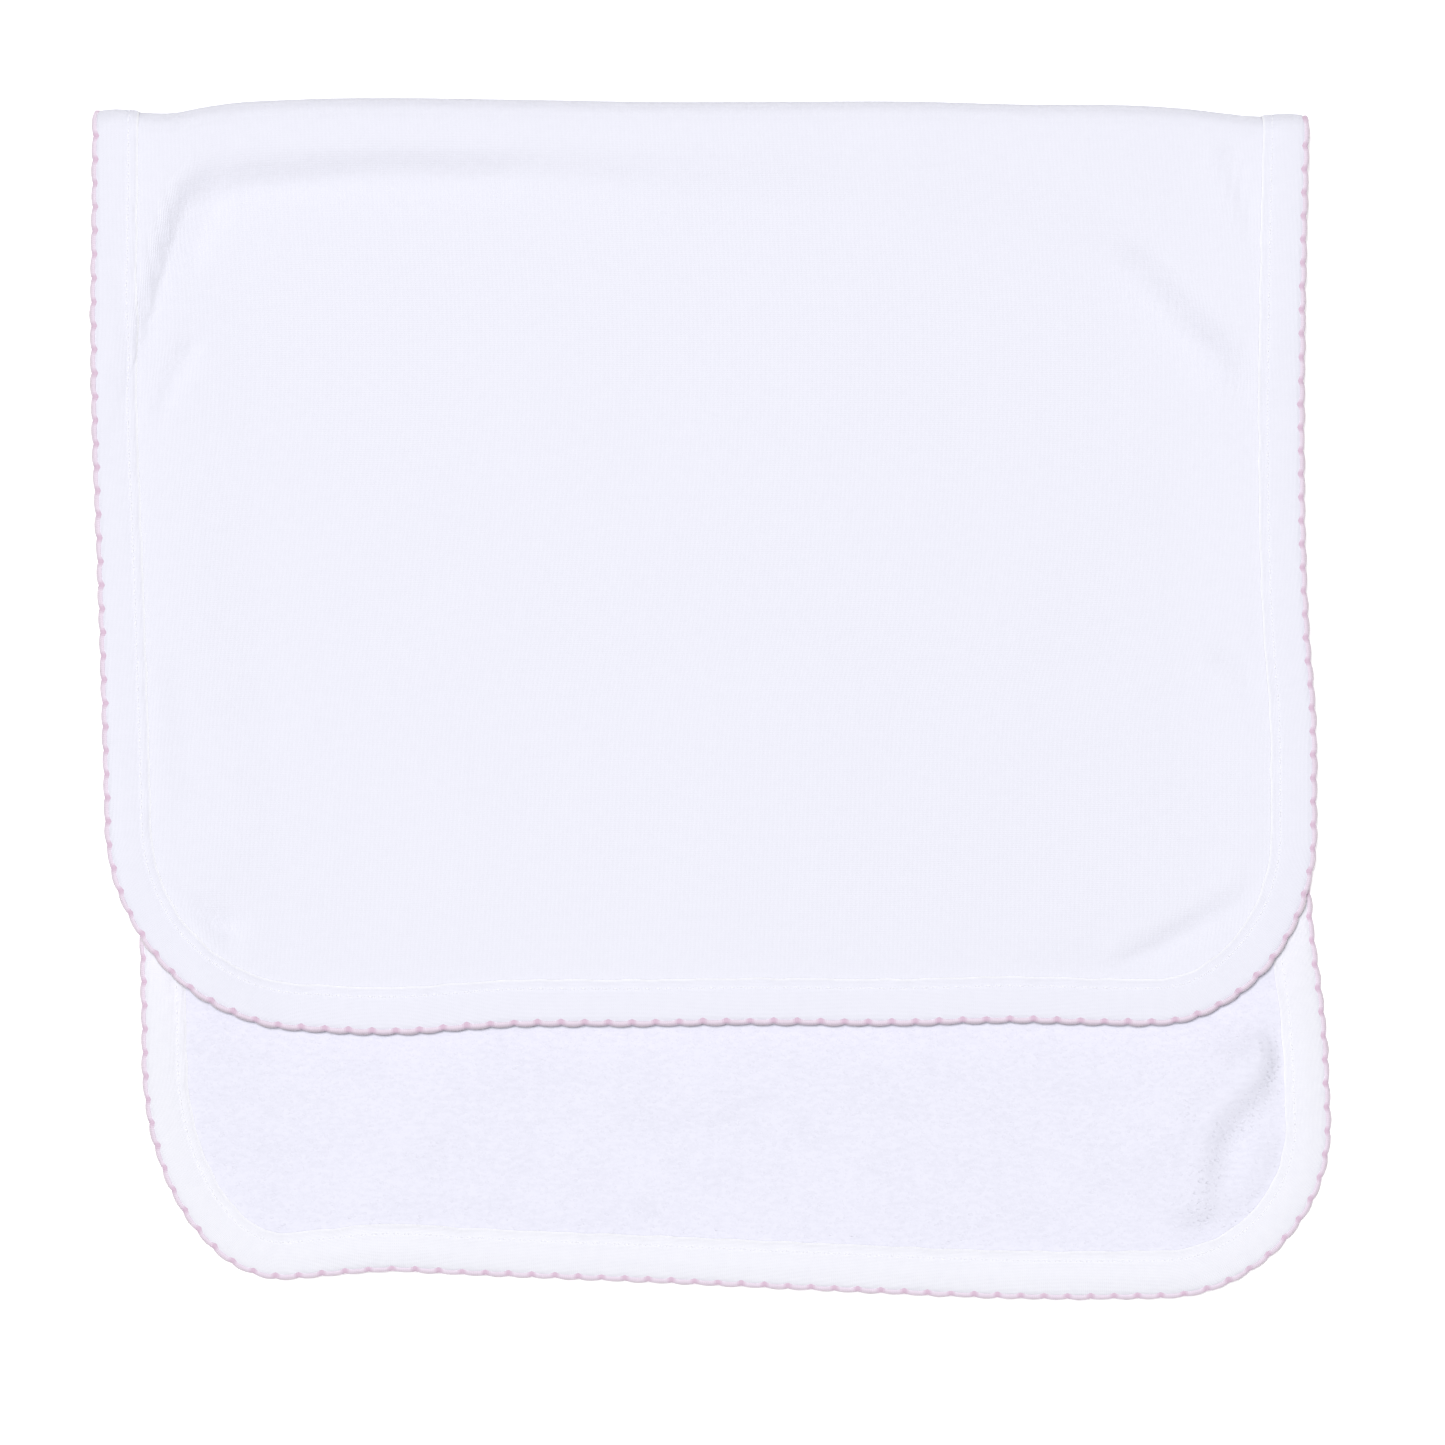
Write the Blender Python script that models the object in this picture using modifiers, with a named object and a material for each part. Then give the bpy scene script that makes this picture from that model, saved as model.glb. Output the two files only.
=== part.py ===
"""A baby's burp cloth, folded once across its length and lying flat, seen from above in its own frame.

A knit face and a terry lining are cut to one rounded rectangle. A knit strip is bound round their raw
edges, and a scalloped thread edging runs along the strip's outer fold.

Every piece is placed in cloth coordinates, in metres, measured on the flat cut:
  across  from the cloth's middle, left to right
  along   from the front hem, up to the fold, over it and down to the back hem
  out     from the layer between face and lining, towards the smooth side of the face
The front half shows its smooth side, and the longer back half shows the terry below the front hem.
"""

import math

import bmesh
import bpy
import numpy as np

# The cut, at the outer fold of the binding.
CUT_WIDTH = 0.3043
FRONT_RUN = 0.2262
BACK_RUN = 0.2912
FOLD_RADIUS = 0.0035
FOLD_RUN = math.pi * FOLD_RADIUS
BACK_START = FRONT_RUN + FOLD_RUN
CUT_LENGTH = BACK_START + BACK_RUN

# Corner curves of the cut: half axes across and along.
FRONT_LEFT_CORNER = (0.0465, 0.050)
FRONT_RIGHT_CORNER = (0.040, 0.048)
BACK_LEFT_CORNER = (0.0355, 0.0555)
BACK_RIGHT_CORNER = (0.043, 0.043)

# Layers, from the middle out.
LAYER_GAP = 0.0003
FACE_THICKNESS = 0.0010
TERRY_THICKNESS = 0.0014
TERRY_PRESSED = 0.0009
BINDING_THICKNESS = 0.0010
BINDING_WIDTH = 0.0108
BINDING_NOSE = ((0.0022, 1.0), (0.0005, 0.45))
SEAM_GAP = 0.0004
PANEL_INSET = 0.0028
FACE_INNER = LAYER_GAP / 2
FACE_OUTER = FACE_INNER + FACE_THICKNESS
TERRY_INNER = LAYER_GAP / 2 + TERRY_THICKNESS
BINDING_MIDDLE = FACE_OUTER + SEAM_GAP + BINDING_THICKNESS / 2
BINDING_OUTER = BINDING_MIDDLE + BINDING_THICKNESS / 2

# The thread edging: one scallop between two bites of the needle.
SCALLOP_PITCH = 0.0060
SCALLOP_REACH = 0.0015
BITE_REACH = 0.0007
EDGING_HALF_HEIGHT = 0.0009
EDGING_SEAT = 0.0004
BITE_HEIGHT_SHARE = 0.6

# How the cloth lies, in plan. Down is the distance from the fold.
PLAN_CENTRE = (-0.0001, -0.0004)
FRONT_SIDES = (
    # down, left edge, right edge
    (0.000, -0.1544, 0.1487),
    (0.026, -0.1546, 0.1481),
    (0.050, -0.1550, 0.1477),
    (0.075, -0.1548, 0.1477),
    (0.100, -0.1538, 0.1479),
    (0.125, -0.1529, 0.1488),
    (0.150, -0.1521, 0.1506),
    (0.175, -0.1514, 0.1508),
    (0.226, -0.1500, 0.1508),
)
BACK_SIDES = (
    # down, left edge, right edge
    (0.000, -0.1544, 0.1487),
    (0.060, -0.1520, 0.1464),
    (0.120, -0.1490, 0.1466),
    (0.170, -0.1452, 0.1486),
    (0.197, -0.1436, 0.1503),
    (0.225, -0.1428, 0.1537),
    (0.250, -0.1425, 0.1548),
    (0.291, -0.1420, 0.1550),
)
FOLD_LINE = (
    # x, height in plan of the fold's outermost line
    (-0.154, 0.1483),
    (-0.143, 0.1488),
    (-0.136, 0.1485),
    (-0.127, 0.1495),
    (-0.116, 0.1503),
    (-0.100, 0.1510),
    (-0.046, 0.1508),
    (-0.016, 0.1503),
    (0.010, 0.1503),
    (0.050, 0.1504),
    (0.080, 0.1496),
    (0.105, 0.1494),
    (0.130, 0.1479),
    (0.142, 0.1476),
    (0.150, 0.1472),
)
FRONT_HEM = (
    # x, height in plan of the front hem
    (-0.150, -0.0810),
    (-0.110, -0.0819),
    (-0.082, -0.0832),
    (-0.050, -0.0812),
    (-0.020, -0.0811),
    (0.010, -0.0807),
    (0.048, -0.0809),
    (0.074, -0.0802),
    (0.105, -0.0809),
    (0.150, -0.0799),
)
BACK_HEM = (
    # x, height in plan of the back hem
    (-0.142, -0.1456),
    (-0.106, -0.1448),
    (-0.081, -0.1426),
    (-0.062, -0.1436),
    (-0.040, -0.1446),
    (-0.015, -0.1456),
    (0.030, -0.1477),
    (0.075, -0.1495),
    (0.092, -0.1497),
    (0.110, -0.1495),
    (0.130, -0.1494),
    (0.155, -0.1492),
)

# How the cloth lies, in height.
CLEARANCE = 0.0006
BAND_FLAT = 0.0110
BAND_RAMP = 0.0360
FRONT_LOFT = 0.0012
ROLL = (
    # x, distance from the fold up to which the puffed roll is level, and by which it has sunk
    (-0.150, 0.0300, 0.0740),
    (-0.143, 0.0360, 0.0530),
    (-0.139, 0.0240, 0.0370),
    (-0.135, 0.0125, 0.0240),
    (-0.130, 0.0078, 0.0190),
    (-0.120, 0.0068, 0.0192),
    (-0.105, 0.0058, 0.0175),
    (-0.090, 0.0052, 0.0150),
    (-0.060, 0.0050, 0.0148),
    (-0.020, 0.0048, 0.0180),
    (0.020, 0.0040, 0.0230),
    (0.060, 0.0050, 0.0290),
    (0.090, 0.0110, 0.0350),
    (0.104, 0.0215, 0.0405),
    (0.120, 0.0375, 0.0545),
    (0.134, 0.0500, 0.0720),
    (0.150, 0.0400, 0.0860),
)
FOLD_RISE = (
    # x, height of the roll's top above the back half, from middle layer to middle layer
    (-0.154, 0.0084),
    (-0.141, 0.0090),
    (-0.130, 0.0090),
    (-0.115, 0.0082),
    (-0.070, 0.0078),
    (-0.020, 0.0072),
    (0.080, 0.0070),
    (0.115, 0.0078),
    (0.134, 0.0082),
    (0.150, 0.0080),
)
OVERHANG_FREE = 0.003
OVERHANG_DROOP = 18.0
FRONT_CREASES = (
    # x from, y from, x to, y to, half width, height
    (0.1277, 0.1350, 0.1360, 0.1194, 0.0036, -0.0015),
    (0.1260, 0.0890, 0.1350, 0.0800, 0.0052, -0.0011),
    (0.1322, -0.0512, 0.1050, -0.0668, 0.0040, -0.0014),
    (0.1120, -0.0480, 0.0850, -0.0580, 0.0100, 0.0008),
    (-0.1385, -0.0512, -0.1240, -0.0574, 0.0042, -0.0023),
    (-0.1200, -0.0360, -0.1000, -0.0430, 0.0090, 0.0006),
    (-0.1325, 0.0872, -0.1405, 0.0742, 0.0032, -0.0013),
    (0.1345, 0.0040, 0.1270, 0.0085, 0.0036, -0.0010),
    (-0.1380, 0.0000, -0.1330, -0.0230, 0.0080, -0.0010),
    (-0.0300, 0.0900, 0.0300, 0.0500, 0.0250, 0.0006),
    (-0.0900, 0.0100, -0.0300, -0.0200, 0.0250, -0.0005),
)
BACK_CREASES = (
    # x from, y from, x to, y to, half width, height
    (0.1377, -0.0906, 0.1246, -0.1047, 0.0058, 0.0040),
    (0.1212, -0.1142, 0.1205, -0.1260, 0.0062, 0.0030),
    (0.1000, -0.1130, 0.1060, -0.1160, 0.0110, 0.0012),
    (0.1390, -0.1150, 0.1360, -0.1260, 0.0070, 0.0014),
    (-0.0950, -0.1180, -0.0750, -0.1110, 0.0080, 0.0014),
)
CREASE_FADE = 0.0080
SHOWING_RAMP = 0.015
HEM_LIFT = (
    # x, height by which the back hem stands off the surface
    (-0.142, 0.0002),
    (-0.110, 0.0002),
    (-0.081, 0.0026),
    (-0.055, 0.0012),
    (0.000, 0.0012),
    (0.060, 0.0015),
    (0.110, 0.0018),
    (0.150, 0.0004),
)
HEM_CREST = 0.0070
HEM_CREST_WIDTH = 0.0095

# How finely the solids are divided: distances in from an edge or from the fold, and counts.
COLUMNS_FROM_EDGE = (0.0, 0.0037, 0.0080, 0.0125, 0.0170, 0.0225, 0.0295, 0.0385, 0.0500)
MIDDLE_COLUMNS = 5
CORNER_ROWS = 9
CORNER_ROWS_END = 0.046
FRONT_ROWS = 4
ROWS_BEFORE_FOLD = (0.0690, 0.0590, 0.0490, 0.0400, 0.0310, 0.0240, 0.0180, 0.0130, 0.0085, 0.0040)
FOLD_ROWS = 8
ROWS_AFTER_FOLD = (0.0060, 0.0160)
BACK_ROWS = 8
RING_IN_CORNER = 0.0070
RING_ON_HEM = 0.0110
HEM_DEPTH = 0.0010
WELD_DISTANCE = 1e-6


def smoothstep(start, end, value):
    """Rises from 0 at start to 1 at end, level at both."""
    share = np.clip((value - start) / (end - start), 0.0, 1.0)
    return share * share * (3.0 - 2.0 * share)


def table_curve(rows, column):
    """A smooth function through a table's first column and one other: cubic pieces, straight past the ends."""
    stops = np.array([row[0] for row in rows])
    values = np.array([row[column] for row in rows])
    slopes = np.gradient(values, stops)

    def at(place):
        inside = np.clip(place, stops[0], stops[-1])
        i = np.clip(np.searchsorted(stops, inside) - 1, 0, len(stops) - 2)
        width = stops[i + 1] - stops[i]
        share = (inside - stops[i]) / width
        rest = 1.0 - share
        value = (
            (1.0 + 2.0 * share) * rest**2 * values[i]
            + share * rest**2 * width * slopes[i]
            + share**2 * (3.0 - 2.0 * share) * values[i + 1]
            - share**2 * rest * width * slopes[i + 1]
        )
        slope = np.where(place < stops[0], slopes[0], slopes[-1])
        return value + (place - inside) * slope

    return at


front_left, front_right = table_curve(FRONT_SIDES, 1), table_curve(FRONT_SIDES, 2)
back_left, back_right = table_curve(BACK_SIDES, 1), table_curve(BACK_SIDES, 2)
fold_edge = table_curve(FOLD_LINE, 1)
front_hem, back_hem = table_curve(FRONT_HEM, 1), table_curve(BACK_HEM, 1)
roll_level, roll_sunk = table_curve(ROLL, 1), table_curve(ROLL, 2)
fold_rise = table_curve(FOLD_RISE, 1)
hem_lift = table_curve(HEM_LIFT, 1)


def corner_axes(across, along):
    """The half axes of the corner curve nearest to a place on the cut."""
    left, front = across < 0.0, along < FRONT_RUN
    axes = []
    for k in range(2):
        front_axis = np.where(left, FRONT_LEFT_CORNER[k], FRONT_RIGHT_CORNER[k])
        back_axis = np.where(left, BACK_LEFT_CORNER[k], BACK_RIGHT_CORNER[k])
        axes.append(np.where(front, front_axis, back_axis))
    return axes


def edge_distance(across, along):
    """How far in from the cut's edge a place lies; below 0 outside it."""
    side = CUT_WIDTH / 2 - np.abs(across)
    end = np.minimum(along, CUT_LENGTH - along)
    half_across, half_along = corner_axes(across, along)
    u = np.maximum(half_across - side, 0.0) / half_across
    v = np.maximum(half_along - end, 0.0) / half_along
    reach = np.hypot(u, v)
    steepness = np.hypot(u / half_across, v / half_along)
    rounded = (1.0 - reach) * reach / np.maximum(steepness, 1e-9)
    return np.where((u > 0.0) & (v > 0.0), rounded, np.minimum(side, end))


def in_band(distance):
    """1 under the binding, falling to 0 where the panel has settled."""
    return 1.0 - smoothstep(BAND_FLAT, BAND_RAMP, distance)


def loose(distance):
    """0 under the binding, rising to 1 just inside it, where a panel is free to crease."""
    return smoothstep(BINDING_WIDTH, BINDING_WIDTH + CREASE_FADE, distance)


def crease_height(x, y, creases):
    """The summed height of soft ridges and troughs, each a rounded line that fades at its ends."""
    total = np.zeros(np.shape(x))
    for x_from, y_from, x_to, y_to, half_width, height in creases:
        run = np.array((x_to - x_from, y_to - y_from))
        length = np.linalg.norm(run)
        run = run / length
        along = (x - x_from) * run[0] + (y - y_from) * run[1]
        beside = (y - y_from) * run[0] - (x - x_from) * run[1]
        past = np.maximum(np.abs(along - length / 2) - length / 2, 0.0)
        total += height * np.exp(-(beside**2 + past**2) / half_width**2)
    return total


def back_plan(down, across):
    """The back half's place in plan."""
    left, right = back_left(down), back_right(down)
    x = left + (right - left) * (across / CUT_WIDTH + 0.5)
    return x, fold_axis(x) + (back_hem(x) - fold_axis(x)) * down / BACK_RUN


def back_place(x, y):
    """The place on the cut that lies at x, y in the back half."""
    down = BACK_RUN * (fold_axis(x) - y) / (fold_axis(x) - back_hem(x))
    left, right = back_left(down), back_right(down)
    return ((x - left) / (right - left) - 0.5) * CUT_WIDTH, BACK_START + down


def front_plan(down, across):
    """The front half's place in plan."""
    left, right = front_left(down), front_right(down)
    x = left + (right - left) * (across / CUT_WIDTH + 0.5)
    return x, fold_axis(x) + (front_hem(x) - fold_axis(x)) * down / FRONT_RUN


def front_place(x, y):
    """The place on the cut that lies at x, y in the front half."""
    down = FRONT_RUN * (fold_axis(x) - y) / (fold_axis(x) - front_hem(x))
    left, right = front_left(down), front_right(down)
    return ((x - left) / (right - left) - 0.5) * CUT_WIDTH, FRONT_RUN - down


def fold_axis(x):
    """The line that the cloth turns round at the fold, in plan."""
    out = FACE_OUTER + (BINDING_OUTER - FACE_OUTER) * in_band(CUT_WIDTH / 2 - np.abs(x))
    return fold_edge(x) - FOLD_RADIUS - out


def back_height(x, y, across, along):
    """The middle layer's height in the back half, which lies on the surface."""
    inward = edge_distance(across, along)
    lies = FACE_OUTER + (BINDING_OUTER - FACE_OUTER) * in_band(inward)
    from_hem = CUT_LENGTH - along
    crest = np.exp(-(((from_hem - HEM_CREST) / HEM_CREST_WIDTH) ** 2))
    showing = smoothstep(0.0, SHOWING_RAMP, -edge_distance(*front_place(x, y)))
    return lies + crest * hem_lift(x) + showing * loose(inward) * crease_height(x, y, BACK_CREASES)


def front_height(x, y, across, along):
    """The middle layer's height in the front half, which lies on the back half."""
    back_across, back_along = back_place(x, y)
    back_inward = edge_distance(back_across, back_along)
    inner_band = BINDING_OUTER - TERRY_INNER
    under = back_height(x, y, back_across, back_along) + TERRY_INNER + inner_band * in_band(back_inward)
    overhang = np.maximum(-back_inward - OVERHANG_FREE, 0.0)
    inward = edge_distance(across, along)
    lies = under + CLEARANCE + TERRY_INNER + inner_band * in_band(inward) - OVERHANG_DROOP * overhang**2
    return lies + (1.0 - in_band(inward)) * FRONT_LOFT


def middle_layer(across, along):
    """The place of the layer between face and lining."""
    turn = np.clip((along - FRONT_RUN) / FOLD_RADIUS, 0.0, math.pi)
    on_back = along > BACK_START
    front_down = np.maximum(FRONT_RUN - along, 0.0)
    back_down = np.maximum(along - BACK_START, 0.0)
    front_x, front_y = front_plan(front_down, across)
    back_x, back_y = back_plan(back_down, across)
    x, y = np.where(on_back, back_x, front_x), np.where(on_back, back_y, front_y)
    low = back_height(back_x, back_y, across, np.maximum(along, BACK_START))
    rise = fold_rise(np.where(on_back, back_x, front_x))
    roll_top = back_height(front_x, front_y, across, BACK_START + front_down) + rise
    rolled = 1.0 - smoothstep(roll_level(front_x), roll_sunk(front_x), front_down)
    lies = front_height(front_x, front_y, across, np.minimum(along, FRONT_RUN))
    creases = loose(edge_distance(across, along)) * crease_height(front_x, front_y, FRONT_CREASES)
    front = lies + (roll_top - lies) * rolled + creases
    arc = low + rise / 2 * (1.0 + np.cos(turn))
    z = np.where(along < FRONT_RUN, front, arc)
    y = y + FOLD_RADIUS * np.sin(turn)
    return np.stack([x - PLAN_CENTRE[0], y - PLAN_CENTRE[1], z], axis=-1)


def cloth_point(across, along, out):
    """The place in space of a point of the cloth, out from the middle layer along its normal."""
    step = 0.0002
    slope_across = middle_layer(across + step, along) - middle_layer(across - step, along)
    slope_along = middle_layer(across, along + step) - middle_layer(across, along - step)
    normal = np.cross(slope_across, slope_along)
    normal /= np.linalg.norm(normal, axis=-1, keepdims=True)
    return middle_layer(across, along) + normal * np.asarray(out)[..., None]


def cut_outline():
    """The cut's edge as a dense closed walk, left side first, with the distance walked to each point."""
    half_width, steps = CUT_WIDTH / 2, 60
    quarter = np.linspace(0.0, math.pi / 2, steps)
    corners = (
        # half axes, side of the cut, end of the cut, and the angle at which the curve starts
        (BACK_LEFT_CORNER, -1.0, 1.0, math.pi),
        (BACK_RIGHT_CORNER, 1.0, 1.0, math.pi / 2),
        (FRONT_RIGHT_CORNER, 1.0, -1.0, 0.0),
        (FRONT_LEFT_CORNER, -1.0, -1.0, -math.pi / 2),
    )
    runs = []
    for (half_across, half_along), side, end, start in corners:
        centre_across = side * (half_width - half_across)
        centre_along = CUT_LENGTH - half_along if end > 0 else half_along
        angle = start - quarter
        runs.append(
            np.stack(
                [centre_across + half_across * np.cos(angle), centre_along + half_along * np.sin(angle)],
                axis=-1,
            )
        )
    points = []
    for previous, run in zip([runs[-1], *runs[:-1]], runs):
        share = np.linspace(0.0, 1.0, 4 * steps)[1:-1, None]
        points += [previous[-1] * (1.0 - share) + run[0] * share, run]
    outline = np.concatenate([*points, points[0][:1]])
    walked = np.concatenate([[0.0], np.cumsum(np.linalg.norm(np.diff(outline, axis=0), axis=1))])
    return outline, walked


OUTLINE, WALKED = cut_outline()
EDGE_LENGTH = WALKED[-1]


def edge_place(walk, inward):
    """The place on the cut that is reached by walking along the edge and then stepping in from it."""
    step = 0.0010
    ahead = [np.interp((walk + step) % EDGE_LENGTH, WALKED, OUTLINE[:, k]) for k in range(2)]
    behind = [np.interp((walk - step) % EDGE_LENGTH, WALKED, OUTLINE[:, k]) for k in range(2)]
    run_across, run_along = ahead[0] - behind[0], ahead[1] - behind[1]
    length = np.hypot(run_across, run_along)
    across = np.interp(walk % EDGE_LENGTH, WALKED, OUTLINE[:, 0]) + inward * run_along / length
    along = np.interp(walk % EDGE_LENGTH, WALKED, OUTLINE[:, 1]) - inward * run_across / length
    return across, along


def side_walk(side, rows):
    """Walked distances at which the edge crosses the rows that end on one straight side of the cut."""
    on_side = np.isclose(OUTLINE[:, 0], side * CUT_WIDTH / 2)
    along, walked = OUTLINE[on_side, 1], WALKED[on_side]
    order = np.argsort(along)
    crossed = rows[(rows > along.min()) & (rows < along.max())]
    return np.sort(np.interp(crossed, along[order], walked[order]))


def edge_stations(rows):
    """Walked distances for the binding's rings: at the panels' rows on the sides, by steps round each end."""
    left, right = side_walk(-1.0, rows), side_walk(1.0, rows)
    first = left[0] + EDGE_LENGTH
    stations = [left]
    for start, end, following in ((left[-1], right[0], right), (right[-1], first, [first])):
        walk = start
        while walk < end - 1.5 * RING_IN_CORNER:
            _, along = edge_place(walk, 0.0)
            on_hem = min(along, CUT_LENGTH - along) < HEM_DEPTH
            walk += RING_ON_HEM if on_hem else RING_IN_CORNER
            stations.append([walk])
        stations.append(following)
    return np.concatenate(stations)


def row_ends(along, inset):
    """Where a row across the cut meets its left and right edge, a little inside them."""
    ends = []
    for side in (-1.0, 1.0):
        half_across, half_along = corner_axes(np.full(np.shape(along), side), along)
        end = np.minimum(along, CUT_LENGTH - along)
        depth = np.clip((half_along - end) / (half_along - inset), 0.0, 1.0)
        drawn_in = (half_across - inset) * (1.0 - np.sqrt(1.0 - depth**2))
        ends.append(side * (CUT_WIDTH / 2 - inset - drawn_in))
    return ends


def panel_rows():
    """Rows of the panels, along the cut: by angle in the corners, close at the fold, wide between."""
    angles = np.linspace(0.0, math.pi / 2, CORNER_ROWS)
    corner = PANEL_INSET + (CORNER_ROWS_END - PANEL_INSET) * (1.0 - np.cos(angles))
    roll = FRONT_RUN - np.array(ROWS_BEFORE_FOLD)
    fold = FRONT_RUN + FOLD_RUN * np.linspace(0.0, 1.0, FOLD_ROWS)
    settle = BACK_START + np.array(ROWS_AFTER_FOLD)
    front = np.linspace(corner[-1], roll[0], FRONT_ROWS + 2)[1:-1]
    back = np.linspace(settle[-1], CUT_LENGTH - corner[-1], BACK_ROWS + 2)[1:-1]
    return np.concatenate([corner, front, roll, fold, settle, back, CUT_LENGTH - corner[::-1]])


def panel_columns():
    """Shares across the panels: close columns beside both edges, wide between."""
    close = np.array(COLUMNS_FROM_EDGE) / (CUT_WIDTH - 2 * PANEL_INSET)
    between = np.linspace(close[-1], 1.0 - close[-1], MIDDLE_COLUMNS + 2)[1:-1]
    return np.concatenate([close, between, 1.0 - close[::-1]])


def new_object(name, bm, material):
    mesh = bpy.data.meshes.new(name)
    bm.to_mesh(mesh)
    bm.free()
    mesh.materials.append(material)
    mesh.shade_smooth()
    mesh.set_sharp_from_angle(angle=math.radians(50))
    made = bpy.data.objects.new(name, mesh)
    pieces.objects.link(made)
    return made


def placed_grid(points):
    """A grid of quads whose corners take the places given, one row of places for each row of the grid."""
    rows, columns = points.shape[:2]
    bm = bmesh.new()
    bmesh.ops.create_grid(bm, x_segments=columns - 1, y_segments=rows - 1, size=0.5)
    for vertex in bm.verts:
        column = round((vertex.co.x + 0.5) * (columns - 1))
        row = round((vertex.co.y + 0.5) * (rows - 1))
        vertex.co = points[row, column]
    return bm


def closed_loft(points):
    """A section carried round the cloth's edge, joined where its last ring meets its first."""
    bm = placed_grid(points)
    bmesh.ops.remove_doubles(bm, verts=bm.verts, dist=WELD_DISTANCE)
    bmesh.ops.recalc_face_normals(bm, faces=bm.faces)
    return bm


def thicken(made, thickness, offset):
    """Gives an open surface its thickness; offset 1 grows along the normals, -1 against them."""
    solidify = made.modifiers.new("thickness", "SOLIDIFY")
    solidify.thickness = thickness
    solidify.offset = offset
    solidify.use_even_offset = True
    return solidify


def panel(name, material, out, columns, rows):
    """One ply of the cloth as an open surface at a given distance out from the middle layer."""
    left, right = row_ends(rows, PANEL_INSET)
    across = left[:, None] + (right - left)[:, None] * columns[None, :]
    along = np.repeat(rows[:, None], len(columns), axis=1)
    made = new_object(name, placed_grid(cloth_point(across, along, np.full(across.shape, out))), material)
    return made, edge_distance(across, along)


def face_panel(material, columns, rows):
    made, _ = panel("knit_face", material, FACE_INNER, columns, rows)
    thicken(made, FACE_THICKNESS, 1.0)


def terry_lining(material, columns, rows):
    """The lining, pressed thinner where the binding grips it."""
    made, inward = panel("terry_lining", material, -FACE_INNER, columns, rows)
    solidify = thicken(made, TERRY_THICKNESS, -1.0)
    pressed = made.vertex_groups.new(name="pile")
    thinnest = TERRY_PRESSED / TERRY_THICKNESS
    weights = thinnest + (1.0 - thinnest) * smoothstep(BINDING_WIDTH + 0.005, BINDING_WIDTH + 0.013, inward)
    grid = placed_grid(np.stack([inward, weights, inward], axis=-1))
    for index, vertex in enumerate(grid.verts):
        pressed.add([index], float(vertex.co.y), "REPLACE")
    grid.free()
    solidify.vertex_group = "pile"


def edge_binding(material, rows):
    """The bound strip: a channel section carried round the edge, open towards the cloth."""
    leg = [(BINDING_WIDTH, 1.0), (0.6 * BINDING_WIDTH, 1.0), *BINDING_NOSE]
    section = np.array([(inward, -share) for inward, share in leg] + leg[::-1])
    walk = edge_stations(rows)
    across, along = edge_place(walk[None, :], section[:, 0][:, None])
    out = np.repeat(BINDING_MIDDLE * section[:, 1][:, None], len(walk), axis=1)
    made = new_object("edge_binding", closed_loft(cloth_point(across, along, out)), material)
    thicken(made, BINDING_THICKNESS, 0.0)


def scalloped_edging(material):
    """The thread edging: a three-sided bead that swells between the bites of the needle."""
    scallops = round(EDGE_LENGTH / SCALLOP_PITCH)
    half_pitches = np.arange(2 * scallops + 1)
    reach = np.where(half_pitches % 2 == 0, BITE_REACH, SCALLOP_REACH)
    share = np.where(half_pitches % 2 == 0, BITE_HEIGHT_SHARE, 1.0)
    section = ((0.0, -1.0), (1.0, 0.0), (0.0, 1.0), (0.0, -1.0))
    outward = np.stack([EDGING_SEAT + reaching * reach for reaching, _ in section])
    out = np.stack([height * EDGING_HALF_HEIGHT * share for _, height in section])
    walk = half_pitches[None, :] * EDGE_LENGTH / (2 * scallops)
    across, along = edge_place(walk, -outward)
    new_object("scalloped_edging", closed_loft(cloth_point(across, along, out)), material)


def cloth_material(name, colour, roughness):
    made = bpy.data.materials.new(name)
    made.use_nodes = True
    shader = made.node_tree.nodes["Principled BSDF"]
    shader.inputs["Base Color"].default_value = (*colour, 1.0)
    shader.inputs["Roughness"].default_value = roughness
    shader.inputs["Metallic"].default_value = 0.0
    return made


for old in list(bpy.data.objects):
    bpy.data.objects.remove(old)
pieces = bpy.data.collections.new("burp_cloth")
bpy.context.scene.collection.children.link(pieces)

knit = cloth_material("white_knit", (0.87, 0.87, 0.93), 0.85)
terry = cloth_material("white_terry", (0.86, 0.86, 0.91), 0.95)
strip = cloth_material("white_binding", (0.88, 0.88, 0.94), 0.85)
pink = cloth_material("pink_thread", (0.85, 0.60, 0.66), 0.60)

rows = panel_rows()
columns = panel_columns()
face_panel(knit, columns, rows)
terry_lining(terry, columns, rows)
edge_binding(strip, rows)
scalloped_edging(pink)
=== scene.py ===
"""A baby's burp cloth, folded once and lying flat: the finish of its knit, terry, binding and edging.

Every piece is placed in cloth coordinates, in metres, measured on the flat cut:
  across  from the cloth's middle, left to right
  along   from the front hem, up to the fold, over it and down to the back hem
  out     from the layer between face and lining, towards the smooth side of the face
"""

import math

import bpy
import numpy as np
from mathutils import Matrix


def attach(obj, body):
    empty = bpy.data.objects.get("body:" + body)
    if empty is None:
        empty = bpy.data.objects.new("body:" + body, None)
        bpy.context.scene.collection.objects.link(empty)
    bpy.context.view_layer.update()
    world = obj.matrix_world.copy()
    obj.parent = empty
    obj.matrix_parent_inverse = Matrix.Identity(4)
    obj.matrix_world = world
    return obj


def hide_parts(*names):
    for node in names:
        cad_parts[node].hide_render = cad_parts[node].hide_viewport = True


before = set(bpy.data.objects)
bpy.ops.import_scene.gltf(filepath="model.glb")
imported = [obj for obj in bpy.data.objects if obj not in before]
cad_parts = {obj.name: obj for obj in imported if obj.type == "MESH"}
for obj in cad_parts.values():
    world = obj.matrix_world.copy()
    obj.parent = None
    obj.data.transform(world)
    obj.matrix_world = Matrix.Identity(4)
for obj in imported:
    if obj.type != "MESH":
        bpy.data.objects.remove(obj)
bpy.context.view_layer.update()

# The cut, at the outer fold of the binding.
CUT_WIDTH = 0.3043
FRONT_RUN = 0.2262
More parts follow.
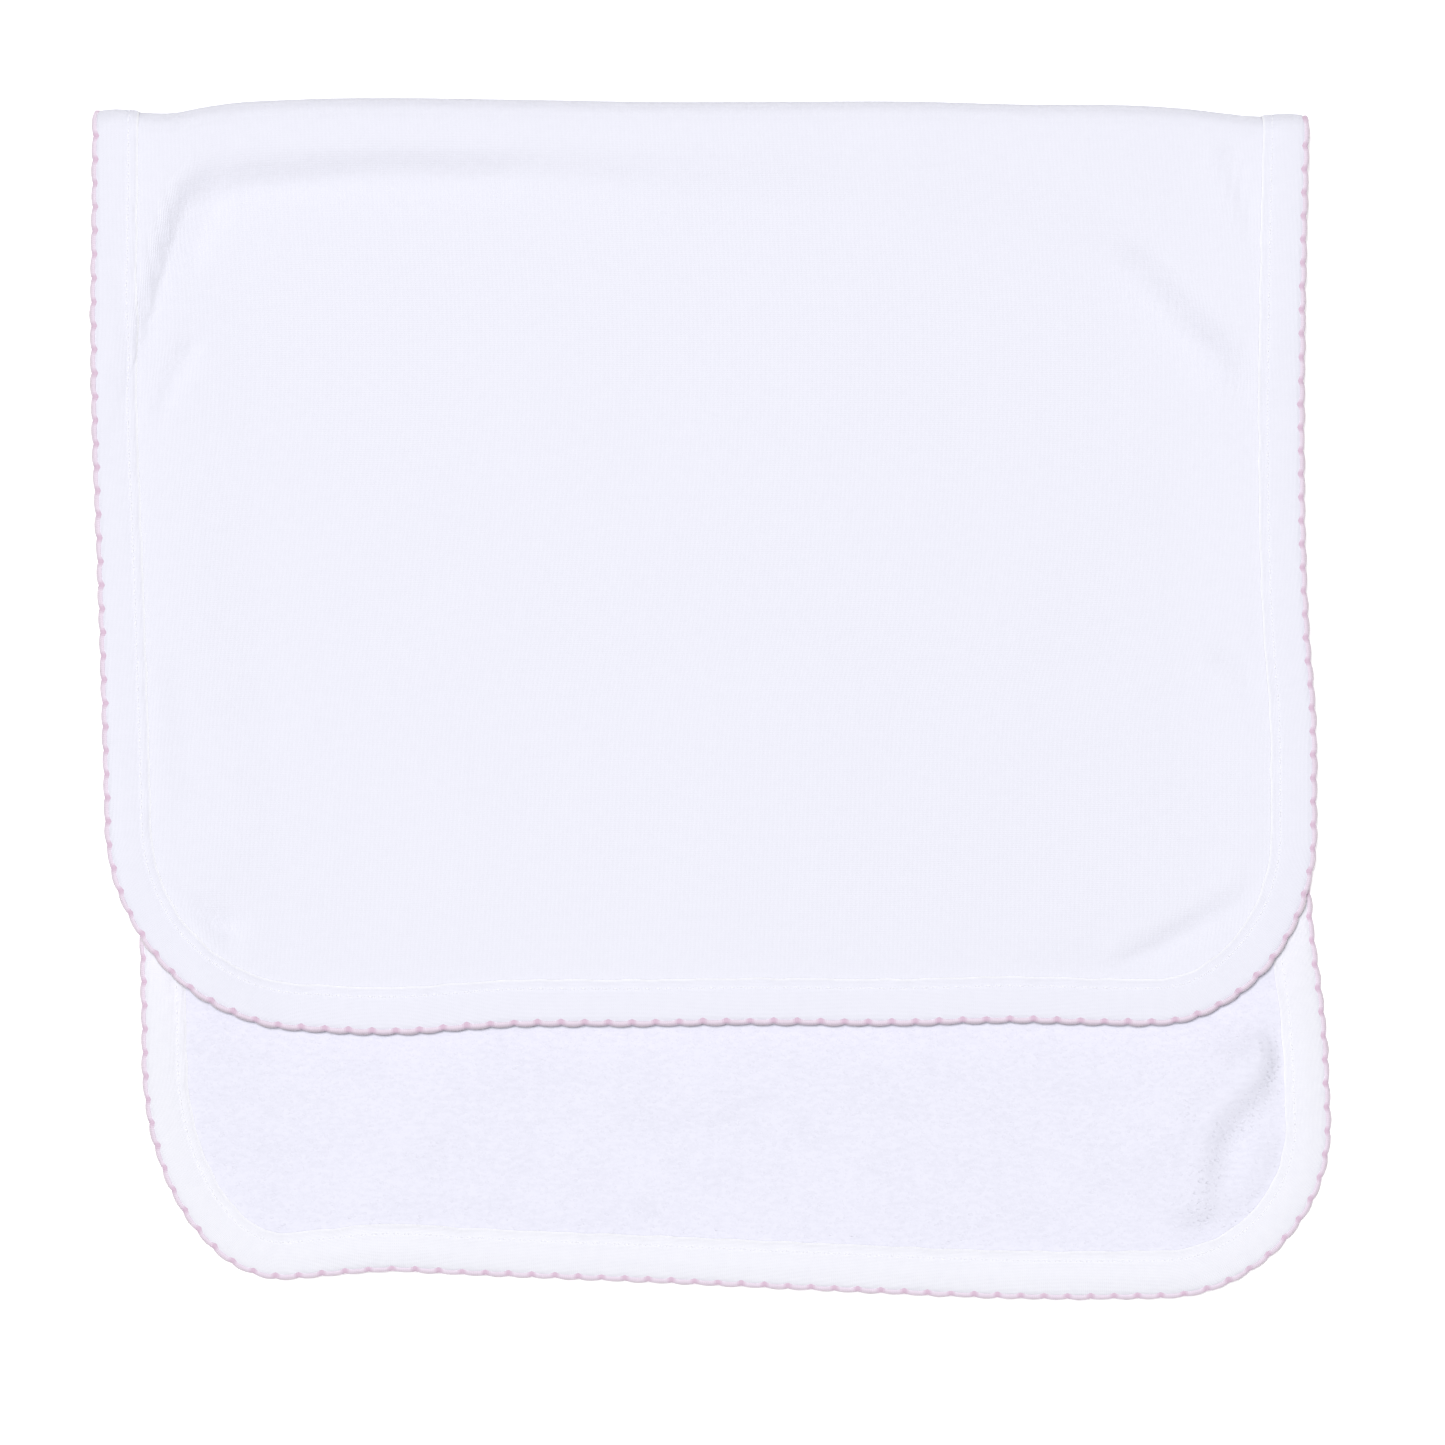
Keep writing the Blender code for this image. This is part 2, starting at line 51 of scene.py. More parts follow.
BACK_RUN = 0.2912
FOLD_RADIUS = 0.0035
FOLD_RUN = math.pi * FOLD_RADIUS
BACK_START = FRONT_RUN + FOLD_RUN
CUT_LENGTH = BACK_START + BACK_RUN
FRONT_LEFT_CORNER = (0.0465, 0.050)
FRONT_RIGHT_CORNER = (0.040, 0.048)
BACK_LEFT_CORNER = (0.0355, 0.0555)
BACK_RIGHT_CORNER = (0.043, 0.043)

# Layers, out from the middle.
FACE_INNER = 0.00015
FACE_THICKNESS = 0.0010
FACE_OUTER = FACE_INNER + FACE_THICKNESS
TERRY_THICKNESS = 0.0014
TERRY_INNER = FACE_INNER + TERRY_THICKNESS
BINDING_OUTER = 0.00255
BINDING_WIDTH = 0.0108
PANEL_INSET = 0.0028

# How the cloth lies, in plan. Down is the distance from the fold.
PLAN_CENTRE = (-0.0001, -0.0004)
FRONT_SIDES = (
    # down, left edge, right edge
    (0.000, -0.1544, 0.1487),
    (0.026, -0.1546, 0.1481),
    (0.050, -0.1550, 0.1477),
    (0.075, -0.1548, 0.1477),
    (0.100, -0.1538, 0.1479),
    (0.125, -0.1529, 0.1488),
    (0.150, -0.1521, 0.1506),
    (0.175, -0.1514, 0.1508),
    (0.226, -0.1500, 0.1508),
)
BACK_SIDES = (
    # down, left edge, right edge
    (0.000, -0.1544, 0.1487),
    (0.060, -0.1520, 0.1464),
    (0.120, -0.1490, 0.1466),
    (0.170, -0.1452, 0.1486),
    (0.197, -0.1436, 0.1503),
    (0.225, -0.1428, 0.1537),
    (0.250, -0.1425, 0.1548),
    (0.291, -0.1420, 0.1550),
)
FOLD_LINE = (
    # x, height in plan of the fold's outermost line
    (-0.154, 0.1483),
    (-0.143, 0.1488),
    (-0.136, 0.1485),
    (-0.127, 0.1495),
    (-0.116, 0.1503),
    (-0.100, 0.1510),
    (-0.046, 0.1508),
    (-0.016, 0.1503),
    (0.010, 0.1503),
    (0.050, 0.1504),
    (0.080, 0.1496),
    (0.105, 0.1494),
    (0.130, 0.1479),
    (0.142, 0.1476),
    (0.150, 0.1472),
)
FRONT_HEM = (
    # x, height in plan of the front hem
    (-0.150, -0.0810),
    (-0.110, -0.0819),
    (-0.082, -0.0832),
    (-0.050, -0.0812),
    (-0.020, -0.0811),
    (0.010, -0.0807),
    (0.048, -0.0809),
    (0.074, -0.0802),
    (0.105, -0.0809),
    (0.150, -0.0799),
)
BACK_HEM = (
    # x, height in plan of the back hem
    (-0.142, -0.1456),
    (-0.106, -0.1448),
    (-0.081, -0.1426),
    (-0.062, -0.1436),
    (-0.040, -0.1446),
    (-0.015, -0.1456),
    (0.030, -0.1477),
    (0.075, -0.1495),
    (0.092, -0.1497),
    (0.110, -0.1495),
    (0.130, -0.1494),
    (0.155, -0.1492),
)

# How the cloth lies, in height.
CLEARANCE = 0.0006
BAND_FLAT = 0.0110
BAND_RAMP = 0.0360
FRONT_LOFT = 0.0012
ROLL = (
    # x, distance from the fold up to which the puffed roll is level, and by which it has sunk
    (-0.150, 0.0300, 0.0740),
    (-0.143, 0.0360, 0.0530),
    (-0.139, 0.0240, 0.0370),
    (-0.135, 0.0125, 0.0240),
    (-0.130, 0.0078, 0.0190),
    (-0.120, 0.0068, 0.0192),
    (-0.105, 0.0058, 0.0175),
    (-0.090, 0.0052, 0.0150),
    (-0.060, 0.0050, 0.0148),
    (-0.020, 0.0048, 0.0180),
    (0.020, 0.0040, 0.0230),
    (0.060, 0.0050, 0.0290),
    (0.090, 0.0110, 0.0350),
    (0.104, 0.0215, 0.0405),
    (0.120, 0.0375, 0.0545),
    (0.134, 0.0500, 0.0720),
    (0.150, 0.0400, 0.0860),
)
FOLD_RISE = (
    # x, height of the roll's top above the back half, from middle layer to middle layer
    (-0.154, 0.0084),
    (-0.141, 0.0090),
    (-0.130, 0.0090),
    (-0.115, 0.0082),
    (-0.070, 0.0078),
    (-0.020, 0.0072),
    (0.080, 0.0070),
    (0.115, 0.0078),
    (0.134, 0.0082),
    (0.150, 0.0080),
)
OVERHANG_FREE = 0.003
OVERHANG_DROOP = 18.0
FRONT_CREASES = (
    # x from, y from, x to, y to, half width, height
    (0.1277, 0.1350, 0.1360, 0.1194, 0.0036, -0.0015),
    (0.1260, 0.0890, 0.1350, 0.0800, 0.0052, -0.0011),
    (0.1322, -0.0512, 0.1050, -0.0668, 0.0040, -0.0014),
    (0.1120, -0.0480, 0.0850, -0.0580, 0.0100, 0.0008),
    (-0.1385, -0.0512, -0.1240, -0.0574, 0.0042, -0.0023),
    (-0.1200, -0.0360, -0.1000, -0.0430, 0.0090, 0.0006),
    (-0.1325, 0.0872, -0.1405, 0.0742, 0.0032, -0.0013),
    (0.1345, 0.0040, 0.1270, 0.0085, 0.0036, -0.0010),
    (-0.1380, 0.0000, -0.1330, -0.0230, 0.0080, -0.0010),
    (-0.0300, 0.0900, 0.0300, 0.0500, 0.0250, 0.0006),
    (-0.0900, 0.0100, -0.0300, -0.0200, 0.0250, -0.0005),
    # finer ones, which the solids leave out
    (-0.1180, 0.1290, -0.0550, 0.1285, 0.0045, -0.0006),
    (-0.1180, 0.1390, -0.0550, 0.1385, 0.0045, 0.0004),
    (-0.1100, 0.1288, -0.0250, 0.1280, 0.0050, -0.0003),
    (-0.1100, 0.1388, -0.0250, 0.1382, 0.0050, 0.0002),
    (-0.0200, 0.1270, 0.0300, 0.1240, 0.0060, -0.0002),
    (-0.1265, 0.1240, -0.1315, 0.1130, 0.0040, -0.0009),
    (0.1350, 0.0885, 0.1395, 0.0865, 0.0026, -0.0009),
    (0.1060, 0.1085, 0.1290, 0.0810, 0.0042, -0.0010),
    (0.1280, -0.0465, 0.1010, -0.0625, 0.0042, 0.0008),
    (0.0400, 0.0100, 0.0850, 0.0020, 0.0090, -0.0004),
    (-0.1280, -0.0100, -0.1120, -0.0040, 0.0060, -0.0004),
)
BACK_CREASES = (
    # x from, y from, x to, y to, half width, height
    (0.1377, -0.0906, 0.1246, -0.1047, 0.0058, 0.0040),
    (0.1212, -0.1142, 0.1205, -0.1260, 0.0062, 0.0030),
    (0.1000, -0.1130, 0.1060, -0.1160, 0.0110, 0.0012),
    (0.1390, -0.1150, 0.1360, -0.1260, 0.0070, 0.0014),
    (-0.0950, -0.1180, -0.0750, -0.1110, 0.0080, 0.0014),
    # finer ones, which the solids leave out
    (0.1300, -0.0855, 0.1180, -0.0986, 0.0080, 0.0020),
    (0.1120, -0.1120, 0.1115, -0.1240, 0.0080, 0.0013),
    (0.1230, -0.1120, 0.1215, -0.1190, 0.0050, 0.0007),
)
CREASE_FADE = 0.0080
SHOWING_RAMP = 0.015
HEM_LIFT = (
    # x, height by which the back hem stands off the surface
    (-0.142, 0.0002),
    (-0.110, 0.0002),
    (-0.081, 0.0026),
    (-0.055, 0.0012),
    (0.000, 0.0012),
    (0.060, 0.0015),
    (0.110, 0.0018),
    (0.150, 0.0004),
)
HEM_CREST = 0.0070
HEM_CREST_WIDTH = 0.0095

# Sewing.
STITCH_INWARD = 0.0085
STITCH_PITCH = 0.0027
STITCH_GROOVE = 0.00015
STITCH_RADIUS = 0.00015
SCALLOP_PITCH = 0.0060
LIP_OUTWARD = 0.00062
LIP_SWELL = 0.00052
LIP_INWARD = 0.00072
LIP_BITE = 0.00130
LIP_HEIGHT = 0.00208
LIP_BITE_LIFT = 0.10
LIP_DROOP = 0.0012
OVERLOCK_PITCH = 0.00050

# Yarns.
WALE_PITCH = 0.00066
COURSE_PITCH = 0.00054
LOOP_SPACING = (0.00146, 0.00094)
LOOP_RADIUS = 0.00042
LOOP_FLATNESS = 0.30
LOOP_SUNK = 0.62
LOOPS_START = 0.170
LOOPS_UNDER_FLAP = 0.004

# The panels' grids: columns across, then rows over stretches of the run, closer where creases show.
FACE_COLUMNS = 140
LINING_COLUMNS = 150
CORNER_ROWS = 25
FACE_ROWS = ((0.046, 0), (CUT_LENGTH - 0.046, 191))
LINING_ROWS = ((0.046, 0), (BACK_START + 0.010, 76), (BACK_START + 0.155, 104), (CUT_LENGTH - 0.046, 165))


def smoothstep(start, end, value):
    """3t2 - 2t3 of how far value has gone from start to end: 0 before start and 1 past end."""
    share = np.clip((value - start) / (end - start), 0.0, 1.0)
    return share * share * (3.0 - 2.0 * share)


def table_curve(rows, column):
    """A smooth function through a table's first column and one other: cubic pieces, straight past the ends."""
    stops = np.array([row[0] for row in rows])
    values = np.array([row[column] for row in rows])
    slopes = np.gradient(values, stops)

    def at(place):
        inside = np.clip(place, stops[0], stops[-1])
        i = np.clip(np.searchsorted(stops, inside) - 1, 0, len(stops) - 2)
        width = stops[i + 1] - stops[i]
        share = (inside - stops[i]) / width
        rest = 1.0 - share
        value = (
            (1.0 + 2.0 * share) * rest**2 * values[i]
            + share * rest**2 * width * slopes[i]
            + share**2 * (3.0 - 2.0 * share) * values[i + 1]
            - share**2 * rest * width * slopes[i + 1]
        )
        slope = np.where(place < stops[0], slopes[0], slopes[-1])
        return value + (place - inside) * slope

    return at


front_left, front_right = table_curve(FRONT_SIDES, 1), table_curve(FRONT_SIDES, 2)
back_left, back_right = table_curve(BACK_SIDES, 1), table_curve(BACK_SIDES, 2)
fold_edge = table_curve(FOLD_LINE, 1)
front_hem, back_hem = table_curve(FRONT_HEM, 1), table_curve(BACK_HEM, 1)
roll_level, roll_sunk = table_curve(ROLL, 1), table_curve(ROLL, 2)
fold_rise = table_curve(FOLD_RISE, 1)
hem_lift = table_curve(HEM_LIFT, 1)


def corner_axes(across, along):
    """The half axes of the corner curve nearest to a place on the cut."""
    left, front = across < 0.0, along < FRONT_RUN
    axes = []
    for k in range(2):
        front_axis = np.where(left, FRONT_LEFT_CORNER[k], FRONT_RIGHT_CORNER[k])
        back_axis = np.where(left, BACK_LEFT_CORNER[k], BACK_RIGHT_CORNER[k])
        axes.append(np.where(front, front_axis, back_axis))
    return axes


def edge_distance(across, along):
    """Distance in from the cut's edge: to the nearest straight side, or first-order to a corner's ellipse."""
    side = CUT_WIDTH / 2 - np.abs(across)
    end = np.minimum(along, CUT_LENGTH - along)
    half_across, half_along = corner_axes(across, along)
    u = np.maximum(half_across - side, 0.0) / half_across
    v = np.maximum(half_along - end, 0.0) / half_along
    reach = np.hypot(u, v)
    steepness = np.hypot(u / half_across, v / half_along)
    rounded = (1.0 - reach) * reach / np.maximum(steepness, 1e-9)
    return np.where((u > 0.0) & (v > 0.0), rounded, np.minimum(side, end))


def in_band(distance):
    """1 under the binding, falling to 0 where the panel has settled."""
    return 1.0 - smoothstep(BAND_FLAT, BAND_RAMP, distance)


def loose(distance):
    """0 under the binding, rising to 1 just inside it, where a panel is free to crease."""
    return smoothstep(BINDING_WIDTH, BINDING_WIDTH + CREASE_FADE, distance)


def crease_height(x, y, creases):
    """The sum of soft ridges and troughs: each falls as exp(-d2/w2) with the distance d from a line's stretch."""
    total = np.zeros(np.shape(x))
    for x_from, y_from, x_to, y_to, half_width, height in creases:
        run = np.array((x_to - x_from, y_to - y_from))
        length = np.linalg.norm(run)
        run = run / length
        along = (x - x_from) * run[0] + (y - y_from) * run[1]
        beside = (y - y_from) * run[0] - (x - x_from) * run[1]
        past = np.maximum(np.abs(along - length / 2) - length / 2, 0.0)
        total += height * np.exp(-(beside**2 + past**2) / half_width**2)
    return total


def fold_axis(x):
    """The line that the cloth turns round at the fold, in plan."""
    out = FACE_OUTER + (BINDING_OUTER - FACE_OUTER) * in_band(CUT_WIDTH / 2 - np.abs(x))
    return fold_edge(x) - FOLD_RADIUS - out


def back_plan(down, across):
    """The back half's place in plan: between its side tables, and from the fold to its hem table."""
    left, right = back_left(down), back_right(down)
    x = left + (right - left) * (across / CUT_WIDTH + 0.5)
    return x, fold_axis(x) + (back_hem(x) - fold_axis(x)) * down / BACK_RUN


def back_place(x, y):
    """The place on the cut that lies at x, y in the back half: back_plan turned round."""
    down = BACK_RUN * (fold_axis(x) - y) / (fold_axis(x) - back_hem(x))
    left, right = back_left(down), back_right(down)
    return ((x - left) / (right - left) - 0.5) * CUT_WIDTH, BACK_START + down


def front_plan(down, across):
    """The front half's place in plan: between its side tables, and from the fold to its hem table."""
    left, right = front_left(down), front_right(down)
    x = left + (right - left) * (across / CUT_WIDTH + 0.5)
    return x, fold_axis(x) + (front_hem(x) - fold_axis(x)) * down / FRONT_RUN


def front_place(x, y):
    """The place on the cut that lies at x, y in the front half: front_plan turned round."""
    down = FRONT_RUN * (fold_axis(x) - y) / (fold_axis(x) - front_hem(x))
    left, right = front_left(down), front_right(down)
    return ((x - left) / (right - left) - 0.5) * CUT_WIDTH, FRONT_RUN - down


def back_height(x, y, across, along):
    """The middle layer's height in the back half: it lies on the surface, thicker in the band, with a raised hem."""
    inward = edge_distance(across, along)
    lies = FACE_OUTER + (BINDING_OUTER - FACE_OUTER) * in_band(inward)
    from_hem = CUT_LENGTH - along
    crest = np.exp(-(((from_hem - HEM_CREST) / HEM_CREST_WIDTH) ** 2))
    showing = smoothstep(0.0, SHOWING_RAMP, -edge_distance(*front_place(x, y)))
    return lies + crest * hem_lift(x) + showing * loose(inward) * crease_height(x, y, BACK_CREASES)


def front_height(x, y, across, along):
    """The middle layer's height in the front half: the back half under it, both linings, and its own creases."""
    back_across, back_along = back_place(x, y)
    back_inward = edge_distance(back_across, back_along)
    inner_band = BINDING_OUTER - TERRY_INNER
    under = back_height(x, y, back_across, back_along) + TERRY_INNER + inner_band * in_band(back_inward)
    overhang = np.maximum(-back_inward - OVERHANG_FREE, 0.0)
    inward = edge_distance(across, along)
    lies = under + CLEARANCE + TERRY_INNER + inner_band * in_band(inward) - OVERHANG_DROOP * overhang**2
    return lies + (1.0 - in_band(inward)) * FRONT_LOFT


def middle_layer(across, along):
    """The layer between face and lining: two halves joined by half a turn of FOLD_RADIUS round the fold's axis."""
    turn = np.clip((along - FRONT_RUN) / FOLD_RADIUS, 0.0, math.pi)
    on_back = along > BACK_START
    front_down = np.maximum(FRONT_RUN - along, 0.0)
    back_down = np.maximum(along - BACK_START, 0.0)
    front_x, front_y = front_plan(front_down, across)
    back_x, back_y = back_plan(back_down, across)
    x, y = np.where(on_back, back_x, front_x), np.where(on_back, back_y, front_y)
    low = back_height(back_x, back_y, across, np.maximum(along, BACK_START))
    rise = fold_rise(np.where(on_back, back_x, front_x))
    roll_top = back_height(front_x, front_y, across, BACK_START + front_down) + rise
    rolled = 1.0 - smoothstep(roll_level(front_x), roll_sunk(front_x), front_down)
    lies = front_height(front_x, front_y, across, np.minimum(along, FRONT_RUN))
    creases = loose(edge_distance(across, along)) * crease_height(front_x, front_y, FRONT_CREASES)
    front = lies + (roll_top - lies) * rolled + creases
    arc = low + rise / 2 * (1.0 + np.cos(turn))
    z = np.where(along < FRONT_RUN, front, arc)
    y = y + FOLD_RADIUS * np.sin(turn)
    return np.stack([x - PLAN_CENTRE[0], y - PLAN_CENTRE[1], z], axis=-1)


def cloth_normal(across, along):
    """The middle layer's unit normal, from its slopes over a fifth of a millimetre each way."""
    step = 0.0002
    slope_across = middle_layer(across + step, along) - middle_layer(across - step, along)
    slope_along = middle_layer(across, along + step) - middle_layer(across, along - step)
    normal = np.cross(slope_across, slope_along)
    return normal / np.linalg.norm(normal, axis=-1, keepdims=True)


def cloth_point(across, along, out):
    """The place in space of a point of the cloth: the middle layer plus out times its normal."""
    return middle_layer(across, along) + cloth_normal(across, along) * np.asarray(out)[..., None]


def cut_outline():
    """The cut's edge as a closed walk of quarter ellipses and straight runs, and the distance walked."""
    half_width, steps = CUT_WIDTH / 2, 90
    quarter = np.linspace(0.0, math.pi / 2, steps)
    corners = (
        # half axes, side of the cut, end of the cut, and the angle at which the curve starts
        (BACK_LEFT_CORNER, -1.0, 1.0, math.pi),
        (BACK_RIGHT_CORNER, 1.0, 1.0, math.pi / 2),
        (FRONT_RIGHT_CORNER, 1.0, -1.0, 0.0),
        (FRONT_LEFT_CORNER, -1.0, -1.0, -math.pi / 2),
    )
    runs = []
    for (half_across, half_along), side, end, start in corners:
        centre_across = side * (half_width - half_across)
        centre_along = CUT_LENGTH - half_along if end > 0 else half_along
        angle = start - quarter
        run_across = centre_across + half_across * np.cos(angle)
        run_along = centre_along + half_along * np.sin(angle)
        runs.append(np.stack([run_across, run_along], axis=-1))
    points = []
    for previous, run in zip([runs[-1], *runs[:-1]], runs):
        share = np.linspace(0.0, 1.0, 4 * steps)[1:-1, None]
        points += [previous[-1] * (1.0 - share) + run[0] * share, run]
    outline = np.concatenate([*points, points[0][:1]])
    walked = np.concatenate([[0.0], np.cumsum(np.linalg.norm(np.diff(outline, axis=0), axis=1))])
    return outline, walked


OUTLINE, WALKED = cut_outline()
EDGE_LENGTH = WALKED[-1]
SCALLOPS = round(EDGE_LENGTH / SCALLOP_PITCH)
SCALLOP = float(EDGE_LENGTH) / SCALLOPS


def edge_place(walk, inward):
    """The place on the cut reached by walking along the edge and then stepping straight in from it."""
    step = 0.0010
    ahead = [np.interp((walk + step) % EDGE_LENGTH, WALKED, OUTLINE[:, k]) for k in range(2)]
    behind = [np.interp((walk - step) % EDGE_LENGTH, WALKED, OUTLINE[:, k]) for k in range(2)]
    run_across, run_along = ahead[0] - behind[0], ahead[1] - behind[1]
    length = np.hypot(run_across, run_along)
    across = np.interp(walk % EDGE_LENGTH, WALKED, OUTLINE[:, 0]) + inward * run_along / length
    along = np.interp(walk % EDGE_LENGTH, WALKED, OUTLINE[:, 1]) - inward * run_across / length
    return across, along


def ripple(walk, wavelength, seed):
    """A closed, uneven wave round the edge, about -1 to 1: three sines near one wavelength, phases from a seed."""
    phases = np.random.default_rng(seed).uniform(0.0, 2.0 * math.pi, 3)
    turns = np.round(EDGE_LENGTH / wavelength * np.array([0.71, 1.0, 1.37]))
    waves = np.sin(walk[..., None] / EDGE_LENGTH * 2.0 * math.pi * turns + phases)
    return waves @ np.array([0.4, 0.35, 0.25])


def quad_grid(rows, columns, wrap_rows=False, wrap_columns=False, blocks=1):
    """Corner numbers of the quads of one grid, or of several equal grids that follow each other."""
    row = np.arange(rows if wrap_rows else rows - 1)[:, None]
    column = np.arange(columns if wrap_columns else columns - 1)[None, :]
    next_row, next_column = (row + 1) % rows, (column + 1) % columns
    corners = [
        row * columns + column,
        row * columns + next_column,
        next_row * columns + next_column,
        next_row * columns + column,
    ]
    one = np.stack(corners, axis=-1).reshape(-1, 4)
    return (one[None] + np.arange(blocks)[:, None, None] * rows * columns).reshape(-1, 4)


def grid_uv(u, v):
    """The corners' pattern places for the quads of a grid: u for each row line, v for each column line."""
    u, v = np.broadcast_arrays(u, v)
    place = np.stack([u, v], axis=-1)
    corners = [place[:-1, :-1], place[:-1, 1:], place[1:, 1:], place[1:, :-1]]
    return np.stack(corners, axis=2).reshape(-1, 2)


def cloth_object(name, points, faces, uv, material):
    """A smooth mesh object from arrays of points, quads and one pattern place for each quad's corner."""
    mesh = bpy.data.meshes.new(name)
    mesh.vertices.add(len(points))
    mesh.vertices.foreach_set("co", points.astype(np.float32).ravel())
    mesh.loops.add(faces.size)
    mesh.loops.foreach_set("vertex_index", faces.astype(np.int32).ravel())
    mesh.polygons.add(len(faces))
    mesh.polygons.foreach_set("loop_start", np.arange(0, faces.size, 4, dtype=np.int32))
    mesh.update(calc_edges=True)
    mesh.validate()
    mesh.uv_layers.new(name="cloth").data.foreach_set("uv", uv.astype(np.float32).ravel())
    mesh.shade_smooth()
    mesh.materials.append(material)
    made = bpy.data.objects.new(name, mesh)
    bpy.context.scene.collection.objects.link(made)
    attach(made, "root")
    return made


def cap_quads(sides, first):
    """A closed end for a tube of an even number of sides: a fan of quads over its ring's corners."""
    fans = np.arange(1, sides - 2, 2)
    return np.stack([first + np.zeros_like(fans), first + fans, first + fans + 1, first + fans + 2], axis=-1)


def thread_ends(count, rings, sides):
    """The closed ends of several equal threads: the first ring turned back, the last as it runs."""
    starts = np.arange(count)[:, None, None] * rings * sides
    first = cap_quads(sides, 0)[None] + starts
    last = cap_quads(sides, (rings - 1) * sides)[None, :, ::-1] + starts
    return np.concatenate([first.reshape(-1, 4), last.reshape(-1, 4)])


def thread_rings(path, upward, radius, sides, tallness):
    """Rings round several paths: centre + radius (cos a side + tallness sin a up), square to each path's run."""
    run = np.gradient(path, axis=-2)
    side = np.cross(run, upward)
    side /= np.linalg.norm(side, axis=-1, keepdims=True)
    up = np.cross(side, run)
    up /= np.linalg.norm(up, axis=-1, keepdims=True)
    angle = np.arange(sides) * 2.0 * math.pi / sides
    spread = np.cos(angle)[:, None] * side[..., None, :] + tallness * np.sin(angle)[:, None] * up[..., None, :]
    return path[..., None, :] + radius[..., None, None] * spread


def threads(name, path, upward, radius, sides, material, tallness=1.0):
    """Several closed threads as one mesh; the pattern's u runs along each thread and v once round it."""
    count, rings = path.shape[:2]
    points = thread_rings(path, upward, radius, sides, tallness).reshape(-1, 3)
    faces = np.concatenate([quad_grid(rings, sides, wrap_columns=True, blocks=count), thread_ends(count, rings, sides)])
    length = np.linalg.norm(np.diff(path, axis=1), axis=-1).sum(axis=1).mean()
    u = np.linspace(0.0, length, rings)[:, None]
    v = np.linspace(0.0, 1.0, sides + 1)[None, :]
    side_uv = np.tile(grid_uv(u, v), (count, 1))
    end_uv = np.zeros(((len(faces) * 4 - len(side_uv)), 2))
    return cloth_object(name, points, faces, np.concatenate([side_uv, end_uv]), material)


class Socket:
    """A shader value. Its operators add Math nodes to the finish that it belongs to."""

    def __init__(self, finish, link):
        self.finish, self.link = finish, link

    def math(self, operation, *others):
        return self.finish.node("ShaderNodeMath", {"operation": operation}, [self, *others])

    def __add__(self, other):
        return self.math("ADD", other)

    __radd__ = __add__

    def __sub__(self, other):
        return self.math("SUBTRACT", other)

    def __rsub__(self, other):
        return self.finish.node("ShaderNodeMath", {"operation": "SUBTRACT"}, [other, self])

    def __mul__(self, other):
        return self.math("MULTIPLY", other)

    __rmul__ = __mul__

    def __truediv__(self, other):
        return self.math("DIVIDE", other)

    def __abs__(self):
        return self.math("ABSOLUTE")

    def wrapped(self):
        return self.math("FRACT")

    def sine(self):
        return self.math("SINE")

    def clamped(self, start, end):
        """0 where the value is start and 1 where it is end, straight between and held past both."""
        node = {"clamp": True}
        inputs = {"Value": self, "From Min": start, "From Max": end}
        return self.finish.node("ShaderNodeMapRange", node, inputs)


class Finish:
    """A Principled material whose patterns are written as expressions."""

    def __init__(self, name, colour, roughness, constants):
        self.material = bpy.data.materials.new(name)
        self.material.use_nodes = True
        self.tree = self.material.node_tree
        self.shader = self.tree.nodes["Principled BSDF"]
        self.shader.inputs["Base Color"].default_value = (*colour, 1.0)
        self.shader.inputs["Roughness"].default_value = roughness
        for socket, value in constants.items():
            self.shader.inputs[socket].default_value = value

    def node(self, kind, settings=None, inputs=(), output=0):
        """Adds a node: its settings first, then the values or links of its sockets."""
        made = self.tree.nodes.new(kind)
        for setting, value in (settings or {}).items():
            setattr(made, setting, value)
        named = inputs.items() if isinstance(inputs, dict) else enumerate(inputs)
        for socket, value in named:
            self.join(value, made.inputs[socket])
        return Socket(self, made.outputs[output])

    def join(self, value, socket):
        if isinstance(value, Socket):
            self.tree.links.new(value.link, socket)
        else:
            socket.default_value = value

    def feed(self, socket, value):
        self.join(value, self.shader.inputs[socket])

    def cloth_place(self):
        """The two pattern coordinates of the piece's own map, in metres."""
        place = self.node("ShaderNodeUVMap", {"uv_map": "cloth"})
        parts = self.node("ShaderNodeSeparateXYZ", inputs=[place])
        return Socket(self, parts.link), Socket(self, parts.link.node.outputs[1])

    def noise(self, scale, detail=2.0, stretch=(1.0, 1.0, 1.0), roughness=0.5):
        """Noise over the object's own coordinates, stretched by a factor along each axis."""
        place = self.node("ShaderNodeTexCoord", output="Object")
        mapped = self.node("ShaderNodeMapping", inputs={"Vector": place, "Scale": stretch})
        inputs = {"Vector": mapped, "Scale": scale, "Detail": detail, "Roughness": roughness}
        return self.node("ShaderNodeTexNoise", inputs=inputs)

    def mix(self, factor, first, second):
        """A colour between two, by a factor."""
        made = self.tree.nodes.new("ShaderNodeMix")
        made.data_type = "RGBA"
        self.join(factor, made.inputs[0])
        self.join(first if isinstance(first, Socket) else (*first, 1.0), made.inputs[6])
        self.join(second if isinstance(second, Socket) else (*second, 1.0), made.inputs[7])
        return Socket(self, made.outputs[2])

    def bump(self, height, distance, strength=1.0, under=None):
        inputs = {"Height": height, "Distance": distance, "Strength": strength}
        if under is not None:
            inputs["Normal"] = under
        return self.node("ShaderNodeBump", inputs=inputs)


